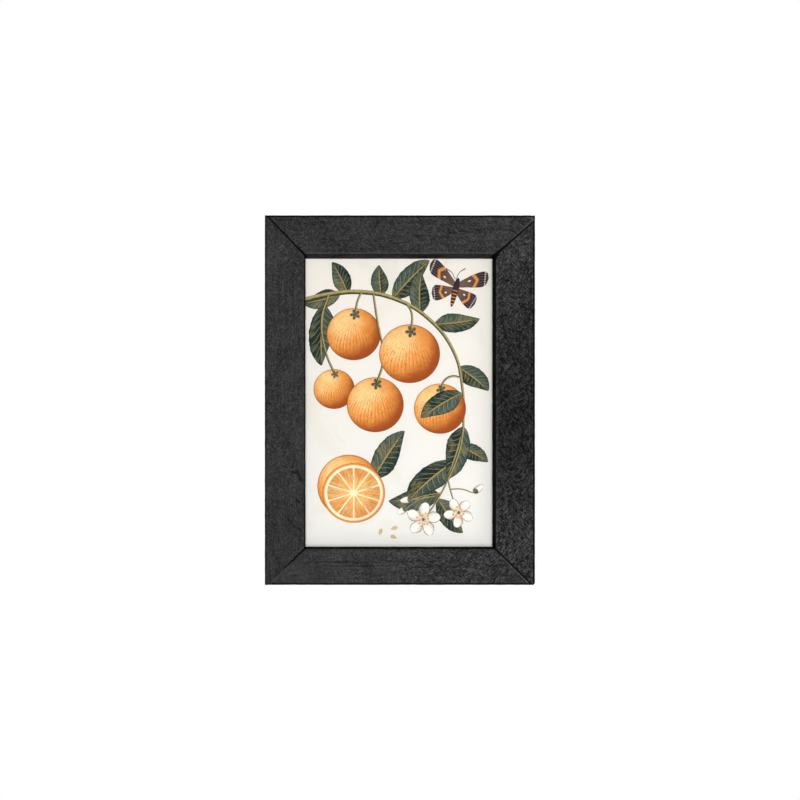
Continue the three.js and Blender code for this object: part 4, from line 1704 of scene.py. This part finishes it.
def add_hanger():
    """The sawtooth hanger: a strip with stepped feet, rounded ends and teeth along its lower edge."""
    low, high = box_mm("sawtooth_hanger")
    strip = {"x_subdivisions": 240, "y_subdivisions": 3, "size": 1, "rotation": (QUARTER, 0, 0)}
    hanger = add(bpy.ops.mesh.primitive_grid_add, "hanger_strip", **strip)
    points = points_of(hanger) * MM
    x = points[:, 0] * (high.x - low.x)
    in_end = np.clip(abs(x) - (high.x - HANGER_ROUND), 0, HANGER_ROUND)
    rounding = HANGER_ROUND - np.sqrt(HANGER_ROUND**2 - in_end**2)
    from_notch = abs(x - TOOTH_PITCH * np.round(x / TOOTH_PITCH))
    toothed = abs(x) <= TOOTH_PITCH * (TEETH_EACH_SIDE + 0.5) + 0.01
    bite = np.where(toothed, TOOTH_DEPTH * (1 - 2 * from_notch / TOOTH_PITCH), 0)
    bottom, top = low.z + rounding + bite, high.z - rounding
    y = HANGER_STAND_OFF * (1 - np.clip((abs(x) - FOOT_INNER + RAMP) / RAMP, 0, 1))
    move_points(hanger, np.stack([x, y, bottom + (top - bottom) * (points[:, 2] + 0.5)], axis=1))
    edit(hanger, action="SELECT")
    bpy.ops.mesh.extrude_region_move(TRANSFORM_OT_translate={"value": (0, HANGER_THICK * MM, 0)})
    close_shape()
    close_edit()
    drill = {"vertices": 32, "radius": NAIL_HOLE * MM, "depth": 4 * MM, "rotation": (QUARTER, 0, 0)}
    for side in PAIR:
        nail = middle_of("hanger_nail_" + side)
        place = (nail.x * MM, 0, nail.z * MM)
        combine(hanger, add(bpy.ops.mesh.primitive_cylinder_add, "nail_hole", location=place, **drill))
    round_edges(hanger, 0.12 * MM, 2, 50)
    smooth_by_angle(hanger, 35)
    return hanger


def add_nail():
    """A round-headed nail about Y, its head's top at 0."""
    radius, head, head_height, length = 0.75, 2.0, 0.8, 13.0
    under, neck = -head_height, -head_height - 0.3
    profile = [(0, -length), (radius * 0.6, 1 - length), (radius, 1.9 - length)]
    profile += [(radius, neck), (radius, under), (head, under)]
    profile += [*arc((0, under + 0.25), (head, 0.55), 0.1, 1.45, 8), (0, 0)]
    nail = add_turned("nail", profile, 28)
    smooth_by_angle(nail, 40)
    return nail


class FRAMEDPRINT_OT_hanger(bpy.types.Operator):
    """Models the sawtooth hanger and its two nails"""

    bl_idname = "framedprint.hanger"
    bl_label = "Hanger"

    def execute(self, context):
        zinc = zinc_finish()
        finish_piece(add_hanger(), "frame", "zinc_steel", zinc, "sawtooth_hanger")
        fit_copies(add_nail(), "round_nail_", "hanger_nail_", PAIR, ("zinc_steel", zinc))
        dress(NAILS, zinc)
        return {"FINISHED"}


def felt_finish():
    """Dense grey felt, hairy at its edges."""
    ink = Finish("felt_pad")
    place = ink.place()
    ways = (ink.stretched(place, 3, 3, 1.2), ink.stretched(place, 1.1, 3, 3))
    hair, cross = (ink.noise(way, 1.0, 4, 0.75, 2.0) for way in ways)
    dark, pale = ([part * share for part in settings().back.felt] for share in (0.5, 2))
    return ink.surface(
        base_color=ink.mix(ink.smooth(hair + cross, 0.75, 1.3), dark, pale),
        roughness=0.97,
        specular_ior_level=0.1,
        sheen_weight=0.35,
        sheen_roughness=0.6,
        normal=ink.bump(hair * 0.5 + cross * 0.5, 0.3),
    )


def add_bumper():
    """A felt disc about Y, its face towards the wall a little pillowed."""
    low, high = box_mm("wall_bumper_left")
    radius, height, soft = (high.x - low.x) / 2, high.y - low.y, 0.8
    side = [(radius, height * step / 8) for step in range(7)]
    corner = arc((radius - soft, height - soft), (soft, soft), 0, math.radians(84), 7)
    face = [((radius - soft) * (1 - step / 10), height) for step in range(1, 11)]
    bumper = add_turned("bumper", [(0, 0), (radius * 0.5, 0), *side, *corner, *face], 72)
    hairy = smooth_step(points_of(bumper)[:, 1], 0.1, 0.8)
    press(bumper, (0.9, 0.7, 0.9), 0, 0, "NORMAL", 0.22, hairy)
    smooth_by_angle(bumper, 60)
    put(bumper, (0, -height, 0))
    return bumper


class FRAMEDPRINT_OT_bumpers(bpy.types.Operator):
    """Models the two felt bumpers"""

    bl_idname = "framedprint.bumpers"
    bl_label = "Bumpers"

    def execute(self, context):
        felt = ("felt_pad", felt_finish())
        fit_copies(add_bumper(), "felt_bumper_", "wall_bumper_", PAIR, felt, turns=(0.9, 2.3))
        return {"FINISHED"}


# The camera, in metres: it looks straight at the wall from a little left of and below the middle
LENS = 44
CAMERA_PLACE = (-0.051, -1.0028, -0.2222)
CAMERA_SHIFT = (0.064, 0.06)
FLOOR_HEIGHT = -1.3
FLOOR_SIZE = 12


def add_camera():
    bpy.ops.object.camera_add(location=CAMERA_PLACE, rotation=(QUARTER, 0, 0))
    camera = bpy.context.active_object
    camera.name = "camera"
    camera.data.lens = LENS
    camera.data.shift_x, camera.data.shift_y = CAMERA_SHIFT
    camera.data.dof.use_dof = False
    bpy.context.scene.camera = camera


def add_light(name, place, size, power, mirrored=False):
    """A soft square light that looks at the frame's middle, and isn't seen itself."""
    aim = MIDDLE * MM - Vector(place)
    bpy.ops.object.light_add(type="AREA", location=place, rotation=aim.to_track_quat("-Z", "Y").to_euler())
    light = bpy.context.active_object
    light.name = name
    light.data.size = size
    light.data.energy = power
    light.visible_camera = False
    light.visible_glossy = mirrored


def add_floor():
    """A plain pale floor that the camera sees as white as the room."""
    size = {"size": FLOOR_SIZE, "location": (0, 0, FLOOR_HEIGHT)}
    floor = add(bpy.ops.mesh.primitive_plane_add, "floor", **size)
    ink = Finish("floor")
    seen = ink.node("LightPath", {}, {}, "Is Camera Ray")
    pale = ink.node("BsdfDiffuse", {}, {"Color": (0.8, 0.8, 0.8, 1)})
    white = ink.node("Emission", {}, {"Color": (1, 1, 1, 1), "Strength": 1.0})
    floor.data.materials.append(ink.show(ink.blend(seen, pale, white)))


def add_world():
    """White to the camera, and an even dim light to everything else."""
    sky = Finish("studio", bpy.data.worlds.new("studio"))
    seen = sky.node("LightPath", {}, {}, "Is Camera Ray")
    strengths = (settings().stage.ambient, 1.0)
    even, white = (sky.node("Background", {}, {0: (1, 1, 1, 1), 1: strength}) for strength in strengths)
    bpy.context.scene.world = sky.show(sky.blend(seen, even, white), "OutputWorld")


class FRAMEDPRINT_OT_stage(bpy.types.Operator):
    """Sets the camera, the lights, the pale floor and the white room"""

    bl_idname = "framedprint.stage"
    bl_label = "Stage"

    def execute(self, context):
        stage = settings().stage
        clear_selection()
        add_camera()
        add_light("front", (0.02, -1.9, -0.27), 0.6, stage.front)
        add_light("key", (0.95, -1.3, -0.95), 1.0, stage.key)
        add_light("back", (0.7, 1.7, 0.7), 1.6, stage.back, True)
        add_light("back_fill", (-1.3, 1.3, -0.6), 1.6, stage.back * 0.5, True)
        add_floor()
        add_world()
        context.scene.view_settings.view_transform = "Standard"
        return {"FINISHED"}


PIECES = (
    FRAMEDPRINT_OT_stage,
    FRAMEDPRINT_OT_rails,
    FRAMEDPRINT_OT_print,
    FRAMEDPRINT_OT_glass,
    FRAMEDPRINT_OT_backing,
    FRAMEDPRINT_OT_buttons,
    FRAMEDPRINT_OT_screws,
    FRAMEDPRINT_OT_hanger,
    FRAMEDPRINT_OT_bumpers,
)


class FRAMEDPRINT_PT_panel(bpy.types.Panel):
    """Lists the pieces of the framed print and their settings"""

    bl_idname = "FRAMEDPRINT_PT_panel"
    bl_label = "Framed Print"
    bl_space_type = "VIEW_3D"
    bl_region_type = "UI"
    bl_category = "Framed Print"

    def draw(self, context):
        for piece in PIECES:
            self.layout.operator(piece.bl_idname)
        every = context.scene.framedprint
        for group in (every.wood, every.art, every.back, every.stage):
            box = self.layout.box()
            for name in group.__annotations__:
                box.prop(group, name)


CLASSES = (
    FRAMEDPRINT_PG_wood,
    FRAMEDPRINT_PG_print,
    FRAMEDPRINT_PG_back,
    FRAMEDPRINT_PG_stage,
    FRAMEDPRINT_PG_all,
    *PIECES,
    FRAMEDPRINT_PT_panel,
)


def register():
    for part in CLASSES:
        bpy.utils.register_class(part)
    bpy.types.Scene.framedprint = PointerProperty(type=FRAMEDPRINT_PG_all)


def unregister():
    del bpy.types.Scene.framedprint
    for part in reversed(CLASSES):
        bpy.utils.unregister_class(part)


def main():
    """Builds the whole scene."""
    register()
    bpy.ops.framedprint.stage()
    bpy.ops.framedprint.rails()
    bpy.ops.framedprint.print()
    bpy.ops.framedprint.glass()
    bpy.ops.framedprint.backing()
    bpy.ops.framedprint.buttons()
    bpy.ops.framedprint.screws()
    bpy.ops.framedprint.hanger()
    bpy.ops.framedprint.bumpers()


if __name__ == "__main__":
    main()
